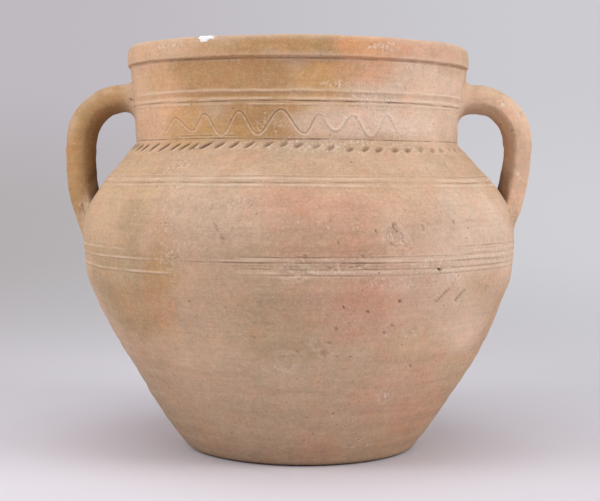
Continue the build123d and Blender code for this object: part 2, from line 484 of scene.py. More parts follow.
@dataclass(frozen=True)
class WaveLine:
    """The wavy line scratched round the neck with a stick.

    The turns of the front each have an angle and a level, low and high by turns. There are a number of
    half waves round the back, uneven by a little. The width is half the true width, and the radius is that
    of the neck. Lime fills the scratch and stands above it from lime_start on, and wholly from lime_full.
    """

    turning: tuple[tuple[float, float], ...] = (
        (-49.5, 280.0), (-43.5, 290.5), (-36.0, 280.0), (-31.0, 293.0), (-25.0, 276.5), (-18.5, 295.0),
        (-12.5, 277.0), (-5.0, 296.2), (2.5, 277.4), (7.0, 292.2), (12.3, 280.4), (18.0, 293.2),
        (24.5, 276.2), (30.5, 294.0), (36.5, 278.0),
    )
    low: float = 277.9
    high: float = 295.3
    back_turns: int = 44
    depth: float = 0.65
    width: float = 0.72
    radius: float = 144.5
    unevenness: float = 1.1
    lime_start: float = 4.0
    lime_full: float = 12.0

    def _turns(self) -> tuple[Array, Array]:
        """All turns of the line, once round from the first.

        Returns:
            Their angles and their levels.
        """
        chance = np.random.default_rng(23)
        first, last = self.turning[0], self.turning[-1]
        gap = (first[0] + FULL_TURN - last[0]) / self.back_turns
        turns = list(self.turning)
        for index in range(1, self.back_turns):
            level = self.high if index % 2 == 1 else self.low
            uneven = chance.uniform(-self.unevenness, self.unevenness)
            turns.append((last[0] + gap * (index + chance.uniform(-0.22, 0.22)), level + uneven))
        turns.append((first[0] + FULL_TURN, first[1]))
        return np.array(turns)[:, 0], np.array(turns)[:, 1]

    def _strength(self, angle: Array) -> Array:
        """How clearly the scratch shows, least beside the handles.

        Args:
            angle: Degrees round the jar.

        Returns:
            Its strength from 0 to 1.
        """
        front = hill(angle_from(angle, -2.0), 47.0) ** 0.5
        back = 0.75 * hill(angle_from(angle, 180.0), 78.0)
        fading = 0.8 + 0.2 * np.sin(np.radians(angle) * 6.0 + 1.0)
        by_handles = hill(angle_from(angle, -64.0), 13.0) + hill(angle_from(angle, 56.0), 15.0)
        shown = np.clip(np.maximum(np.minimum(1.2 * front, 1.0), back), 0.0, 1.0)
        return shown * fading * (1.0 - 0.8 * by_handles)

    def press(self, angle: Array, level: Array) -> Relief:
        """Relief that the stick leaves.

        Args:
            angle: Degrees round the jar.
            level: Levels above the floor.

        Returns:
            The scratch with its lips.
        """
        turns, heights = self._turns()
        along = turns[0] + (angle - turns[0]) % FULL_TURN
        index = np.clip(np.searchsorted(turns, along, side="right") - 1, 0, len(turns) - 2)
        share = (along - turns[index]) / (turns[index + 1] - turns[index])
        swing = heights[index + 1] - heights[index]
        middle = heights[index] + swing * (1.0 - np.cos(math.pi * share)) / 2.0
        run = np.radians(turns[index + 1] - turns[index]) * self.radius
        steep = swing * math.pi * np.sin(math.pi * share) / (2.0 * run)
        across = (level - middle) / np.sqrt(1.0 + steep**2) / self.width
        strength = self._strength(angle)
        core = np.exp(-(across**2)) * strength
        lower = hill(across + 1.7, 0.8) * strength
        upper = hill(across - 1.7, 0.8) * strength
        relief = Relief.flat(len(angle))
        limy = ramp(angle, self.lime_start, self.lime_full)
        crest = np.clip((middle - self.low) / (self.high - self.low), 0.0, 1.0)
        relief.height = self.depth * (0.6 * lower + 0.25 * upper - core * (1.0 - 2.0 * limy))
        # Where lime fills the line, the dark along its lower side is painted shadow under the raised lime.
        relief.cut = np.maximum((0.4 + 0.6 * crest) * (1.0 - limy) * core, 0.45 * limy * lower)
        # The lower lip gets more paleness and lime than the upper one: wear and lime with a painted
        # highlight, as if lit from above.
        lips = np.maximum((1.6 - 0.7 * crest) * (1.0 - limy) * lower, 0.5 * upper)
        relief.wear_and_highlight = np.maximum(lips, 1.8 * limy * core)
        relief.crust = 1.8 * limy * core + 0.6 * (1.0 - limy) * lower
        return relief


@dataclass(frozen=True)
class NotchRow:
    """The row of slanting notches pressed into the shoulder under the neck.

    Attributes:
        front: Angles of the notches on the front.
        back_count: Number of notches round the back.
        width: Half width of a notch.
        slant: Degrees by which a notch leans from level.
        radius: Radius of the shoulder there.
        slope_stretch: Length along the shoulder for each millimetre of level.
        sway: Angle and rise of points along the uneven row.
        force: Angle and force of points along the row.
        sharp_until: Angle up to which the notches are sharpest.
        blunt_from: Angle from which they are bluntest.
        reach: Degrees and millimetres of level within which a notch is reckoned.
    """

    front: tuple[float, ...] = (
        -71.5, -66.0, -61.0, -54.0, -48.0, -42.5, -38.5, -34.5, -30.0, -25.0, -20.0, -15.0, -9.0,
        -4.0, 0.5, 6.0, 10.5, 16.5, 21.5, 26.0, 32.0, 37.0, 43.0, 49.0, 54.0, 60.5,
    )
    back_count: int = 42
    level: float = 266.5
    length: float = 10.5
    width: float = 1.9
    depth: float = 1.6
    slant: float = 36.0
    radius: float = 149.2
    slope_stretch: float = 1.45
    sway: tuple[tuple[float, float], ...] = (
        (-120.0, 0.0), (-60.0, 0.0), (-40.0, 0.3), (-20.0, 1.7), (0.0, 1.3), (12.0, -0.8),
        (20.0, -1.4), (35.0, -1.2), (45.0, -0.8), (60.0, 0.0), (120.0, 0.0),
    )
    force: tuple[tuple[float, float], ...] = (
        (-90.0, 1.3), (-60.0, 1.4), (-37.5, 1.4), (-35.0, 0.7), (-30.0, 0.9),
        (-11.0, 1.1), (24.0, 1.2), (40.0, 1.05), (60.0, 0.8), (90.0, 0.8),
    )
    sharp_until: float = -38.0
    blunt_from: float = 26.0
    reach: tuple[float, float] = (4.6, 9.0)

    def _angles(self) -> Array:
        """Where the notches are.

        Returns:
            The angles of all notches, those of the front first.
        """
        chance = np.random.default_rng(5)
        gap = (self.front[0] + FULL_TURN - self.front[-1]) / (self.back_count + 1)
        back = [self.front[-1] + gap * (index + chance.uniform(-0.14, 0.14))
                for index in range(1, self.back_count + 1)]
        return np.array([*self.front, *back])

    def press(self, angle: Array, level: Array) -> Relief:
        """Relief that the tool leaves.

        Args:
            angle: Degrees round the jar.
            level: Levels above the floor.

        Returns:
            The notches, longer and sharper on the left than on the right.
        """
        relief = Relief.flat(len(angle))
        chance = np.random.default_rng(8)
        for middle in self._angles():
            turned = angle_from(middle, 0.0)
            sharp = 1.0 - ramp(turned, self.sharp_until, self.blunt_from)
            length = self.length * (0.68 + 0.42 * sharp) * chance.uniform(0.85, 1.12)
            width = self.width * (1.05 - 0.2 * sharp) * chance.uniform(0.85, 1.15)
            width *= 1.0 + 0.7 * ramp(-turned, 40.0, 64.0) * (turned > -100.0)
            force = np.interp(turned, *zip(*self.force)) * chance.uniform(0.75, 1.15)
            slant = math.radians(self.slant + 8.0 * sharp + chance.uniform(-7.0, 7.0))
            row = self.level + chance.uniform(-0.4, 0.4)
            row += np.interp(turned, *zip(*self.sway))
            offset = angle_from(angle, middle)
            near = np.flatnonzero((np.abs(offset) < self.reach[0]) & (np.abs(level - row) < self.reach[1]))
            round_jar = np.radians(offset[near]) * self.radius
            up_slope = (level[near] - row) * self.slope_stretch
            along = round_jar * math.cos(slant) + up_slope * math.sin(slant)
            across = up_slope * math.cos(slant) - round_jar * math.sin(slant)
            taper = width * np.clip(1.1 - 0.5 * np.abs(along) / length, 0.4, 1.0)
            core = np.exp(-((across / taper) ** 2)) * np.exp(-((2.0 * along / length) ** 4))
            # The dark in a notch is dirt and painted shade, strongest in the sharp ones; the pale lip below
            # it is wear with painted highlight.
            lip = hill(across / taper + 1.7, 0.6) * np.exp(-((2.1 * along / length) ** 4))
            dirt = (0.95 + 1.3 * sharp**3) * force * core
            relief.lay(near, self.depth * force * (0.3 * lip - core), dirt, (0.7 + 0.6 * sharp) * lip, 0.0)
        return relief


@dataclass(frozen=True)
class Spall:
    """A flake lost over a grain of lime, or a small pit.

    It has shares of lime and dirt in it and of dirt along its edge. Its stretch is how much longer it is
    round the jar than up it.
    """

    angle: float
    level: float
    radius: float
    depth: float
    crust: float = 0.5
    dirt: float = 0.0
    stretch: float = 1.0
    edge: float = 0.0

    def press(self, relief: Relief, form: JarForm, angle: Array, level: Array) -> None:
        """Cut the flake out of a relief.

        Args:
            relief: Relief to cut into.
            form: Shape of the jar.
            angle: Degrees round the jar.
            level: Levels above the floor.
        """
        reach = self.radius * 1.8
        offset = np.radians(angle_from(angle, self.angle)) * float(form.outside(self.level)) / self.stretch
        rise = level - self.level
        near = np.flatnonzero((np.abs(offset) < reach) & (np.abs(rise) < reach))
        place = np.stack([offset[near], rise[near], np.full(len(near), self.angle * 7.0)], axis=1)
        rough = Ripple(31, max(2.5, self.radius * 0.8)).at(place)
        far = np.hypot(offset[near], rise[near]) / self.radius + 0.13 * rough
        bowl = 1.0 - ramp(far, 0.62, 1.08)
        ring = hill(far - 1.05, 0.22)
        broken = np.clip(0.5 + 0.6 * rough, 0.0, 1.0)
        edge_dirt = self.edge * hill(far - 0.86, 0.12) * broken
        lime = self.crust * bowl * (0.75 + 0.25 * rough)
        depth = self.depth * (0.4 * rough * bowl + 0.3 * ring - bowl)
        relief.lay(near, depth, np.maximum(self.dirt * bowl, edge_dirt), 0.5 * ring, lime)


@dataclass(frozen=True)
class Scratch:
    """A thin straight scratch on the wall, with shares of lime and dirt in it.

    Its width is half the true width, and each end dies out over its taper at most.
    """

    angle: float
    level: float
    end_angle: float
    end_level: float
    width: float = 0.9
    depth: float = 0.3
    crust: float = 0.0
    dirt: float = 0.0
    taper: float = 3.0

    def press(self, relief: Relief, form: JarForm, angle: Array, level: Array) -> None:
        """Draw the scratch into a relief.

        Args:
            relief: Relief to cut into.
            form: Shape of the jar.
            angle: Degrees round the jar.
            level: Levels above the floor.
        """
        radius = float(form.outside(self.level))
        run = math.radians(self.end_angle - self.angle) * radius
        drop = self.end_level - self.level
        length = math.hypot(run, drop)
        offset = np.radians(angle_from(angle, self.angle)) * radius
        rise = level - self.level
        along = (offset * run + rise * drop) / length
        across = (rise * run - offset * drop) / length
        taper = min(self.taper, length / 3.0)
        ends = ramp(along, 0.0, taper) * (1.0 - ramp(along, length - taper, length))
        core = hill(across, self.width) * ends
        relief.lay(slice(None), -self.depth * core, self.dirt * core, 0.0, self.crust * core)


@dataclass
class WallSkin:
    """The outside of the jar from foot to rim: turned lines, wave, notches and damage.

    The belly has grooves on the right and ridges that run on round the left. Each swell has its height.
    The pad is a swelling of the neck behind the top of the right handle.
    """

    form: JarForm
    belly_lines: tuple[TurnedLine, ...] = (
        TurnedLine(181.5, 0.55, 0.52, -19.0, 188.0, 10.0, 0.6),
        TurnedLine(176.8, 0.6, 0.52, -31.0, 200.0, 8.0, 0.7),
        TurnedLine(171.8, 0.55, 0.52, -18.0, 187.0, 12.0, 0.6),
        TurnedLine(167.2, 0.45, 0.52, -18.0, 186.0, 12.0, 0.45),
        TurnedLine(179.3, -0.3, 1.2, -20.0, 190.0, 12.0),
        TurnedLine(169.5, -0.3, 1.2, -20.0, 190.0, 12.0), TurnedLine(178.1, -0.3, 0.55, -22.0, 16.0, 3.0),
        TurnedLine(188.0, 0.5, 0.6, 36.0, 126.0, 12.0, 0.6),
        TurnedLine(184.7, -0.5, 0.8, 40.0, 50.0, 8.0), TurnedLine(173.7, -0.4, 0.8, 44.0, 40.0, 8.0),
        TurnedLine(184.0, -1.0, 0.85, 163.0, 151.0, 6.0, 0.6),
        TurnedLine(177.0, -1.15, 0.9, 161.0, 167.0, 6.0, 0.6),
        TurnedLine(166.3, -1.15, 0.9, 165.0, 165.0, 5.0, 0.6, 1.5, rise_width=26.0),
    )
    shoulder_lines: tuple[TurnedLine, ...] = (
        TurnedLine(243.2, 0.42, 0.5, dirt=0.5, rise=-1.6), TurnedLine(240.9, -0.42, 1.0, rise=-1.4),
        TurnedLine(238.3, 0.65, 0.6, rise=-1.2), TurnedLine(236.1, -0.45, 0.85, rise=-1.2),
    )
    neck_lines: tuple[TurnedLine, ...] = (
        TurnedLine(311.2, -0.6, 1.1), TurnedLine(308.0, 0.6, 2.3, dirt=0.2),
        TurnedLine(305.1, -0.6, 1.05), TurnedLine(303.0, 0.95, 0.5, dirt=1.0),
        # The dark of the line at 272.9, in the corner at the neck's foot, is partly dirt and partly painted
        # shade; the line at 337 under the rim is painted shadow.
        TurnedLine(300.9, -0.4, 0.8), TurnedLine(272.9, 0.55, 0.5, dirt=1.0),
        TurnedLine(275.6, 0.3, 0.6, -48.0, 32.0, dirt=0.6), TurnedLine(337.0, 0.3, 0.7, dirt=0.8),
    )
    wave: WaveLine = WaveLine()
    notches: NotchRow = NotchRow()
    spalls: tuple[Spall, ...] = (
        Spall(22.6, 197.2, 8.8, 0.9, 1.6, edge=0.7), Spall(22.5, 206.0, 1.8, 1.2, 0.1, 0.9),
        Spall(25.6, 192.5, 4.2, 0.6, 0.6, 0.15, edge=0.3), Spall(17.9, 201.0, 1.3, 0.9, 0.0, 1.4),
        Spall(9.0, 192.8, 1.4, 0.9, 0.1, 1.2), Spall(35.5, 170.8, 1.4, 1.7, 0.0, 1.9),
        Spall(13.5, 210.5, 2.0, 0.7, 1.8, edge=1.3), Spall(30.5, 203.4, 2.8, 0.5, 0.2, 0.6, 0.7),
        Spall(14.0, 174.6, 3.6, 0.5, 0.6, stretch=2.0),
        Spall(-1.3, 169.5, 6.0, 0.5, dirt=0.1, stretch=2.2),
        Spall(1.2, 181.8, 2.6, 0.8, 0.9, 0.2, 1.5, 0.4), Spall(15.0, 182.0, 2.0, 0.7, 0.9, 0.2, 1.5, 0.4),
        Spall(-3.5, 97.0, 8.0, 0.5, 0.95, edge=0.12), Spall(-7.0, 90.5, 5.0, 0.3, 0.9, stretch=1.7),
        Spall(6.6, 103.8, 3.4, 0.4, 0.0, 0.4, 1.4), Spall(4.6, 112.0, 4.0, 0.4, 0.6, 0.1, 1.3),
        Spall(7.7, 113.5, 2.2, 0.7, 0.4, 0.4), Spall(9.2, 124.5, 1.8, 0.8, dirt=0.6),
        Spall(-0.7, 106.0, 1.3, 0.7, 0.0, 0.6), Spall(-11.5, 118.0, 1.3, 0.7, 0.0, 0.6),
        Spall(-12.5, 132.5, 1.5, 0.5, 0.0, 0.4), Spall(22.3, 121.5, 1.7, 0.8, 0.2, 0.7),
        Spall(24.0, 127.6, 1.6, 0.9, 0.1, 0.8), Spall(23.2, 123.6, 3.2, 0.4, 0.7, 0.1),
        Spall(30.4, 121.0, 4.6, 0.45, 0.95, 0.1, 1.8), Spall(25.0, 146.5, 1.3, 0.9, 0.0, 1.6),
        Spall(11.0, 143.5, 1.4, 0.8, 0.1, 1.3), Spall(33.5, 90.0, 1.5, 0.9, 0.4, 0.7),
        Spall(27.8, 64.0, 6.2, 0.45, 0.95, edge=0.1), Spall(4.4, 31.0, 1.8, 0.5, 0.95),
        Spall(54.0, 25.0, 2.8, 0.4, 0.95), Spall(-60.1, 59.8, 4.0, 0.6, 0.6),
        Spall(74.0, 120.0, 7.0, 0.6, 0.7, edge=0.2), Spall(118.0, 85.0, 9.0, 0.7, 0.8, edge=0.2),
        Spall(150.0, 200.0, 6.0, 0.7, 0.7, edge=0.2), Spall(-140.0, 130.0, 8.0, 0.7, 0.7, edge=0.2),
        Spall(-115.0, 215.0, 4.0, 0.9, 0.3, 0.4), Spall(-165.0, 55.0, 6.0, 0.7, 0.8, edge=0.2),
        Spall(40.5, 207.5, 1.2, 0.7, 0.0, 1.2), Spall(7.0, 173.5, 1.4, 0.6, 0.3, 1.0),
        Spall(17.0, 139.0, 1.3, 0.8, 0.2, 1.3), Spall(32.0, 157.5, 1.5, 0.6, 1.4, 0.4, edge=0.6),
        Spall(42.8, 145.0, 1.7, 0.6, 0.0, 1.1),
    )
    scratches: tuple[Scratch, ...] = (
        Scratch(39.9, 155.7, 35.7, 142.3, 0.75, 0.4, dirt=1.3),
        Scratch(46.0, 154.0, 42.4, 144.0, depth=0.4, dirt=1.2),
        Scratch(44.5, 208.0, 57.0, 207.6, 0.6, dirt=0.8),
        Scratch(41.2, 164.0, 40.3, 155.0, 0.6, dirt=0.9),
        Scratch(54.0, 157.0, 55.0, 149.5, depth=0.4, dirt=0.9),
        Scratch(-1.0, 84.0, 15.0, 39.0, 0.7, 0.12, 0.4), Scratch(14.6, 38.8, 19.0, 30.0, 0.75, crust=1.0),
        Scratch(18.2, 30.8, 32.0, 15.0, 0.8, crust=0.9), Scratch(17.8, 25.0, 23.0, 21.0, 1.0, 0.25, 0.9),
        Scratch(16.5, 19.6, 24.0, 17.3, 1.5, 0.25, 0.95),
        Scratch(-20.6, 209.2, -19.4, 203.4, 0.55, 0.7, dirt=1.0),
        Scratch(-19.6, 204.0, -18.9, 199.4, 0.6, 0.8, dirt=1.2),
        Scratch(-18.6, 197.4, -17.3, 194.2, 0.8, 0.8, dirt=1.2),
        Scratch(-17.6, 195.4, -18.2, 190.6, 0.55, 0.6, dirt=0.9),
        Scratch(-14.5, 126.4, -9.8, 129.8, 0.8, dirt=0.25),
        Scratch(-9.8, 129.8, -5.1, 127.7, 0.8, dirt=0.25), Scratch(131.0, 160.0, 120.0, 128.0, dirt=0.5),
        Scratch(-120.0, 90.0, -104.0, 62.0, crust=0.7),
    )
    swells: tuple[tuple[Ripple, float], ...] = (
        (Ripple(3, 150.0), 0.42), (Ripple(7, 52.0, 1.6), 0.2),
        (Ripple(11, 19.0, 1.8), 0.09), (Ripple(13, 7.0, 1.5), 0.035),
    )
    throwing: Ripple = Ripple(17, 13.0, 14.0)
    throwing_height: float = 0.17
    pad_height: float = 3.9
    foot_contact_shade: float = 0.9

    def _clear_of_handles(self, angle: Array) -> Array:
        """1 away from the handles, falling to 0 where their roots are smoothed on."""
        left, right = (np.abs(angle_from(angle, side.angle())) for side in Side)
        return ramp(left, 9.0, 16.0) * ramp(right, 9.0, 16.0)

    def relief(self, angle: Array, level: Array) -> Relief:
        """All that stands on or is cut into the plain outside.

        Args:
            angle: Degrees round the jar.
            level: Levels above the floor.

        Returns:
            The relief at each place.
        """
        points = self.form.place(angle, self.form.outside(level), level)
        relief = Relief.flat(len(angle))
        for swell, height in self.swells:
            relief.height += height * swell.at(points)
        calm = 1.0 - 0.6 * ramp(level, 225.0, 280.0)
        relief.height += self.throwing_height * self.throwing.at(points) * calm
        relief.height *= ramp(level, 0.0, 6.0)
        for line in self.belly_lines:
            relief.add(line.press(angle, level))
        worn_left = 1.0 - 0.45 * hill(angle_from(angle, -75.0), 35.0)
        worn_right = 1.0 - 0.75 * hill(angle_from(angle, 30.0), 13.0)
        for line in self.shoulder_lines:
            relief.add(line.press(angle, level), worn_left * worn_right)
        clear = self._clear_of_handles(angle)
        by_right_root = hill(angle_from(angle, Side.RIGHT.angle()), 10.0)
        relief.height += self.pad_height * by_right_root * ramp(level, 306.0, 330.0)
        by_left_root = 1.0 - 0.65 * hill(angle_from(angle, -76.0), 13.0) * ramp(level, 276.0, 290.0)
        for line in self.neck_lines:
            relief.add(line.press(angle, level), clear * by_left_root)
        relief.add(self.wave.press(angle, level), clear)
        relief.add(self.notches.press(angle, level))
        damage = Relief.flat(len(angle))
        for mark in (*self.spalls, *self.scratches):
            mark.press(damage, self.form, angle, level)
        relief.add(damage)
        # Painted contact shade along the foot, darkest at the floor.
        relief.cut = np.maximum(relief.cut, self.foot_contact_shade * (1.0 - ramp(level, 0.8, 3.4)))
        return relief

    def points(self, angle: Array, level: Array, relief: Relief, sink: Numbers = 0.0) -> Array:
        """Places on the outside, moved along its normal by a relief.

        Args:
            angle: Degrees round the jar.
            level: Levels above the floor.
            relief: Relief at each place.
            sink: Distance below the surface.

        Returns:
            One point in millimetres per row.
        """
        slope = self.form.slope(level)
        steep = np.sqrt(1.0 + slope**2)
        height = relief.height - sink
        radius = self.form.outside(level) + height / steep
        return self.form.place(angle, radius, level - height * slope / steep)


@dataclass(frozen=True)
class Stain:
    """A soft patch of another colour on the outside.

    Its reach is in degrees and its height in millimetres, both from its middle. Its edge is the softness
    of its border from 0 to 1, and ragged is how uneven that border is.
    """

    clay: Clay
    angle: float
    level: float
    reach: float
    height: float
    strength: float = 0.8
    edge: float = 0.5
    ragged: float = 0.14

    def mask(self, angle: Array, level: Array, rough: Array) -> Array:
        """Share of the stain.

        Args:
            angle: Degrees round the jar.
            level: Levels above the floor.
            rough: Unevenness at each place.

        Returns:
            The share at each place.
        """
        wide = angle_from(angle, self.angle) / self.reach
        high = (level - self.level) / self.height
        far = np.sqrt(wide**2 + high**2) + self.ragged * rough
        return self.strength * (1.0 - ramp(far, 1.0 - self.edge, 1.0 + 0.6 * self.edge))


@dataclass
class Weathering:
    """Colours that firing, burial and cleaning left on the jar.

    Stains are laid one over the other in their order. A tone is the angle, level, reach, height and gain of a
    soft place brightened or darkened as painted light and shade. The swells make the borders and the shapes
    of patches uneven.
    """

    form: JarForm
    ground: Clay = Clay.BUFF
    stains: tuple[Stain, ...] = tuple(Stain(*place) for place in (
        (Clay.TAN, -76.0, 215.0, 40.0, 60.0, 0.8, 0.2), (Clay.SAND, -6.0, 74.0, 42.0, 80.0, 0.55),
        (Clay.OLIVE, -5.7, 125.5, 13.0, 34.0, 0.5), (Clay.OLIVE, -44.6, 208.0, 7.0, 15.0, 0.65),
        (Clay.OLIVE, -50.6, 148.2, 19.0, 44.0, 0.75, 0.25, 0.1),
        (Clay.OCHRE, -47.9, 130.1, 11.0, 26.0, 0.35, 0.4), (Clay.ORANGE, -36.9, 142.9, 5.0, 34.0, 0.35),
        (Clay.ORANGE, -34.9, 192.7, 4.5, 22.0, 0.3, 0.6),
        (Clay.PALE, -22.0, 214.8, 17.0, 36.0, 0.42, 0.45), (Clay.PINK, 6.2, 215.7, 18.0, 24.0, 0.75),
        (Clay.ROSE, 3.2, 224.5, 10.0, 12.0, 0.3), (Clay.GREY_BUFF, 5.0, 264.0, 15.0, 9.0),
        (Clay.GREY_BUFF, -19.0, 239.0, 19.0, 6.0, 0.6), (Clay.PINK, 19.7, 147.1, 20.0, 32.0, 0.85),
        (Clay.ROSE, 18.0, 186.0, 27.0, 13.0, 0.5), (Clay.OCHRE, -34.0, 169.0, 6.5, 20.0, 0.55, 0.6),
        (Clay.ROSE, 14.8, 149.3, 8.0, 14.0, 0.35), (Clay.PALE, 47.9, 197.0, 26.0, 42.0, 0.9),
        (Clay.PALE, 44.0, 134.0, 14.0, 32.0, 0.6), (Clay.PINK, 30.0, 212.0, 9.0, 20.0, 0.35),
        (Clay.PALE, 40.0, 253.0, 16.0, 12.0, 0.3, 0.6), (Clay.PALE, 53.0, 117.0, 9.0, 20.0, 0.6),
        (Clay.PALE, 69.0, 178.0, 14.0, 32.0, 0.75), (Clay.PALE, -73.0, 98.0, 12.0, 42.0, 0.5),
        (Clay.PINK, 31.8, 73.4, 16.0, 40.0, 0.6), (Clay.ROSE, 48.5, 39.4, 14.0, 26.0, 0.45),
        (Clay.ROSE, 6.0, 14.8, 12.0, 16.0, 0.35), (Clay.GREY_BUFF, -65.2, 43.8, 22.0, 40.0, 0.6),
        (Clay.PINK, -53.7, 62.5, 8.0, 14.0, 0.4), (Clay.OCHRE, -22.2, 322.5, 26.0, 26.0, 0.95, 0.3, 0.07),
        (Clay.AMBER, 7.4, 323.4, 11.0, 14.0, 0.85, 0.4, 0.09),
        (Clay.AMBER, -40.0, 286.0, 18.0, 20.0, 0.7), (Clay.AMBER, 9.0, 303.0, 16.0, 14.0, 0.55),
        (Clay.OCHRE, -11.0, 289.0, 16.0, 20.0, 1.0, 0.3, 0.1), (Clay.AMBER, -24.0, 279.0, 14.0, 9.0, 0.6),
        (Clay.ORANGE, -50.0, 312.0, 10.0, 26.0, 0.4), (Clay.PEACH, -62.2, 304.8, 19.0, 40.0, 0.85, 0.35),
        (Clay.PALE, 20.2, 286.6, 26.0, 15.0, 0.8, 0.4), (Clay.PALE, 48.3, 302.7, 32.0, 40.0, 0.8, 0.3),
        (Clay.CRUST, 34.0, 285.0, 22.0, 12.0, 0.35, 0.6),
        (Clay.ORANGE, 25.2, 332.0, 7.0, 14.0, 0.55, 0.6), (Clay.ORANGE, 15.0, 325.0, 6.0, 9.0, 0.45, 0.6),
        (Clay.AMBER, -52.0, 322.0, 8.0, 14.0, 0.35, 0.6),
        (Clay.PEACH, -50.5, 347.7, 36.0, 9.0, 0.75, 0.6), (Clay.OCHRE, 0.0, 348.0, 24.0, 10.0, 1.0),
        (Clay.ORANGE, 23.0, 346.5, 13.5, 11.0, 0.85), (Clay.PINK, 50.0, 347.0, 22.0, 10.0, 0.75),
        (Clay.PINK, 95.0, 100.0, 24.0, 60.0, 0.7), (Clay.OCHRE, 128.0, 190.0, 26.0, 60.0, 0.6, 0.3),
        (Clay.GREY_BUFF, 160.0, 80.0, 34.0, 60.0, 0.7), (Clay.PALE, 178.0, 220.0, 26.0, 44.0, 0.6),
        (Clay.OLIVE, -150.0, 150.0, 16.0, 36.0, 0.5), (Clay.ORANGE, -118.0, 180.0, 12.0, 34.0, 0.4),
        (Clay.PINK, -105.0, 90.0, 24.0, 50.0, 0.7), (Clay.OCHRE, 150.0, 315.0, 40.0, 26.0, 0.7, 0.3),
        (Clay.PEACH, -130.0, 305.0, 36.0, 34.0, 0.7, 0.4),
    ))
    limes: tuple[Stain, ...] = tuple(Stain(Clay.CRUST, *place) for place in (
        (-38.0, 250.6, 6.0, 13.0, 0.5, 0.6), (-33.6, 216.4, 3.4, 36.0, 0.42, 0.6),
        (-31.5, 177.0, 4.2, 11.0, 0.42, 0.6), (-16.6, 222.0, 8.0, 7.0, 0.45, 0.6),
        (6.1, 173.4, 15.0, 9.0, 0.6, 0.6), (39.8, 171.7, 16.0, 14.0, 0.6, 0.6),
        (14.4, 268.0, 40.0, 7.0, 0.6, 0.6), (11.5, 316.5, 6.0, 3.5), (22.2, 306.4, 13.0, 6.0, 0.8, 0.6),
        (40.2, 332.6, 6.0, 3.0, 0.9), (30.2, 286.4, 24.0, 13.0, 0.55, 0.6),
        (-8.5, 282.1, 6.0, 8.0, 0.55, 0.6), (60.1, 178.1, 14.0, 10.0, 0.6, 0.6),
        (21.9, 160.9, 10.0, 5.0, 0.5, 0.6), (25.2, 346.8, 6.0, 4.0, 0.9),
        (-44.6, 348.8, 9.0, 4.0, 0.7, 0.6), (110.0, 240.0, 20.0, 20.0, 0.6, 0.6),
        (-160.0, 285.0, 26.0, 14.0, 0.6, 0.6),
    ))
    # Painted light and shade: soft places of the clay made paler or darker.
    tones: tuple[tuple[float, float, float, float, float], ...] = (
        (0.0, 195.0, 32.0, 48.0, -0.11), (-62.0, 230.0, 28.0, 36.0, 0.08),
        (48.0, 205.0, 24.0, 40.0, -0.04), (40.0, 45.0, 38.0, 55.0, 0.1), (-10.0, 95.0, 30.0, 40.0, 0.11),
        (34.0, 108.0, 20.0, 28.0, 0.06), (-40.0, 104.0, 16.0, 26.0, 0.05),
        (0.0, 256.0, 30.0, 15.0, -0.07), (-3.0, 320.0, 20.0, 11.0, -0.07),
        (-50.0, 330.0, 40.0, 42.0, 0.06), (50.0, 330.0, 40.0, 42.0, 0.07),
    )
    least_lime: float = 0.12
    edge_swell: Ripple = Ripple(41, 24.0)
    broad_swell: Ripple = Ripple(43, 70.0)

    def wash(self, angle: Array, level: Array) -> Array:
        """Colour of the clay on the outside.

        Args:
            angle: Degrees round the jar.
            level: Levels above the floor.

        Returns:
            Linear red, green and blue, one row per place.
        """
        points = self.form.place(angle, self.form.outside(level), level)
        rough = self.edge_swell.at(points)
        broad = self.broad_swell.at(points)
        colour = np.tile(self.ground.linear(), (len(angle), 1))
        for stain in self.stains:
            mask = stain.mask(angle, level, 0.6 * rough + 0.7 * broad)
            colour += (stain.clay.linear() - colour) * mask[:, None]
        # Painted light and shade over the stains.
        for middle, height, reach, rise, gain in self.tones:
            place = hill(angle_from(angle, middle), reach) * hill(level - height, rise)
            colour *= 1.0 + gain * place[:, None]
        return colour

    def lime(self, angle: Array, level: Array) -> Array:
        """Share of pale lime on the outside.

        Args:
            angle: Degrees round the jar.
            level: Levels above the floor.

        Returns:
            The share at each place.
        """
        points = self.form.place(angle, self.form.outside(level), level)
        rough = self.edge_swell.at(points)
        share = np.full(len(angle), self.least_lime)
        for stain in self.limes:
            share = np.maximum(share, stain.mask(angle, level, rough))
        return share


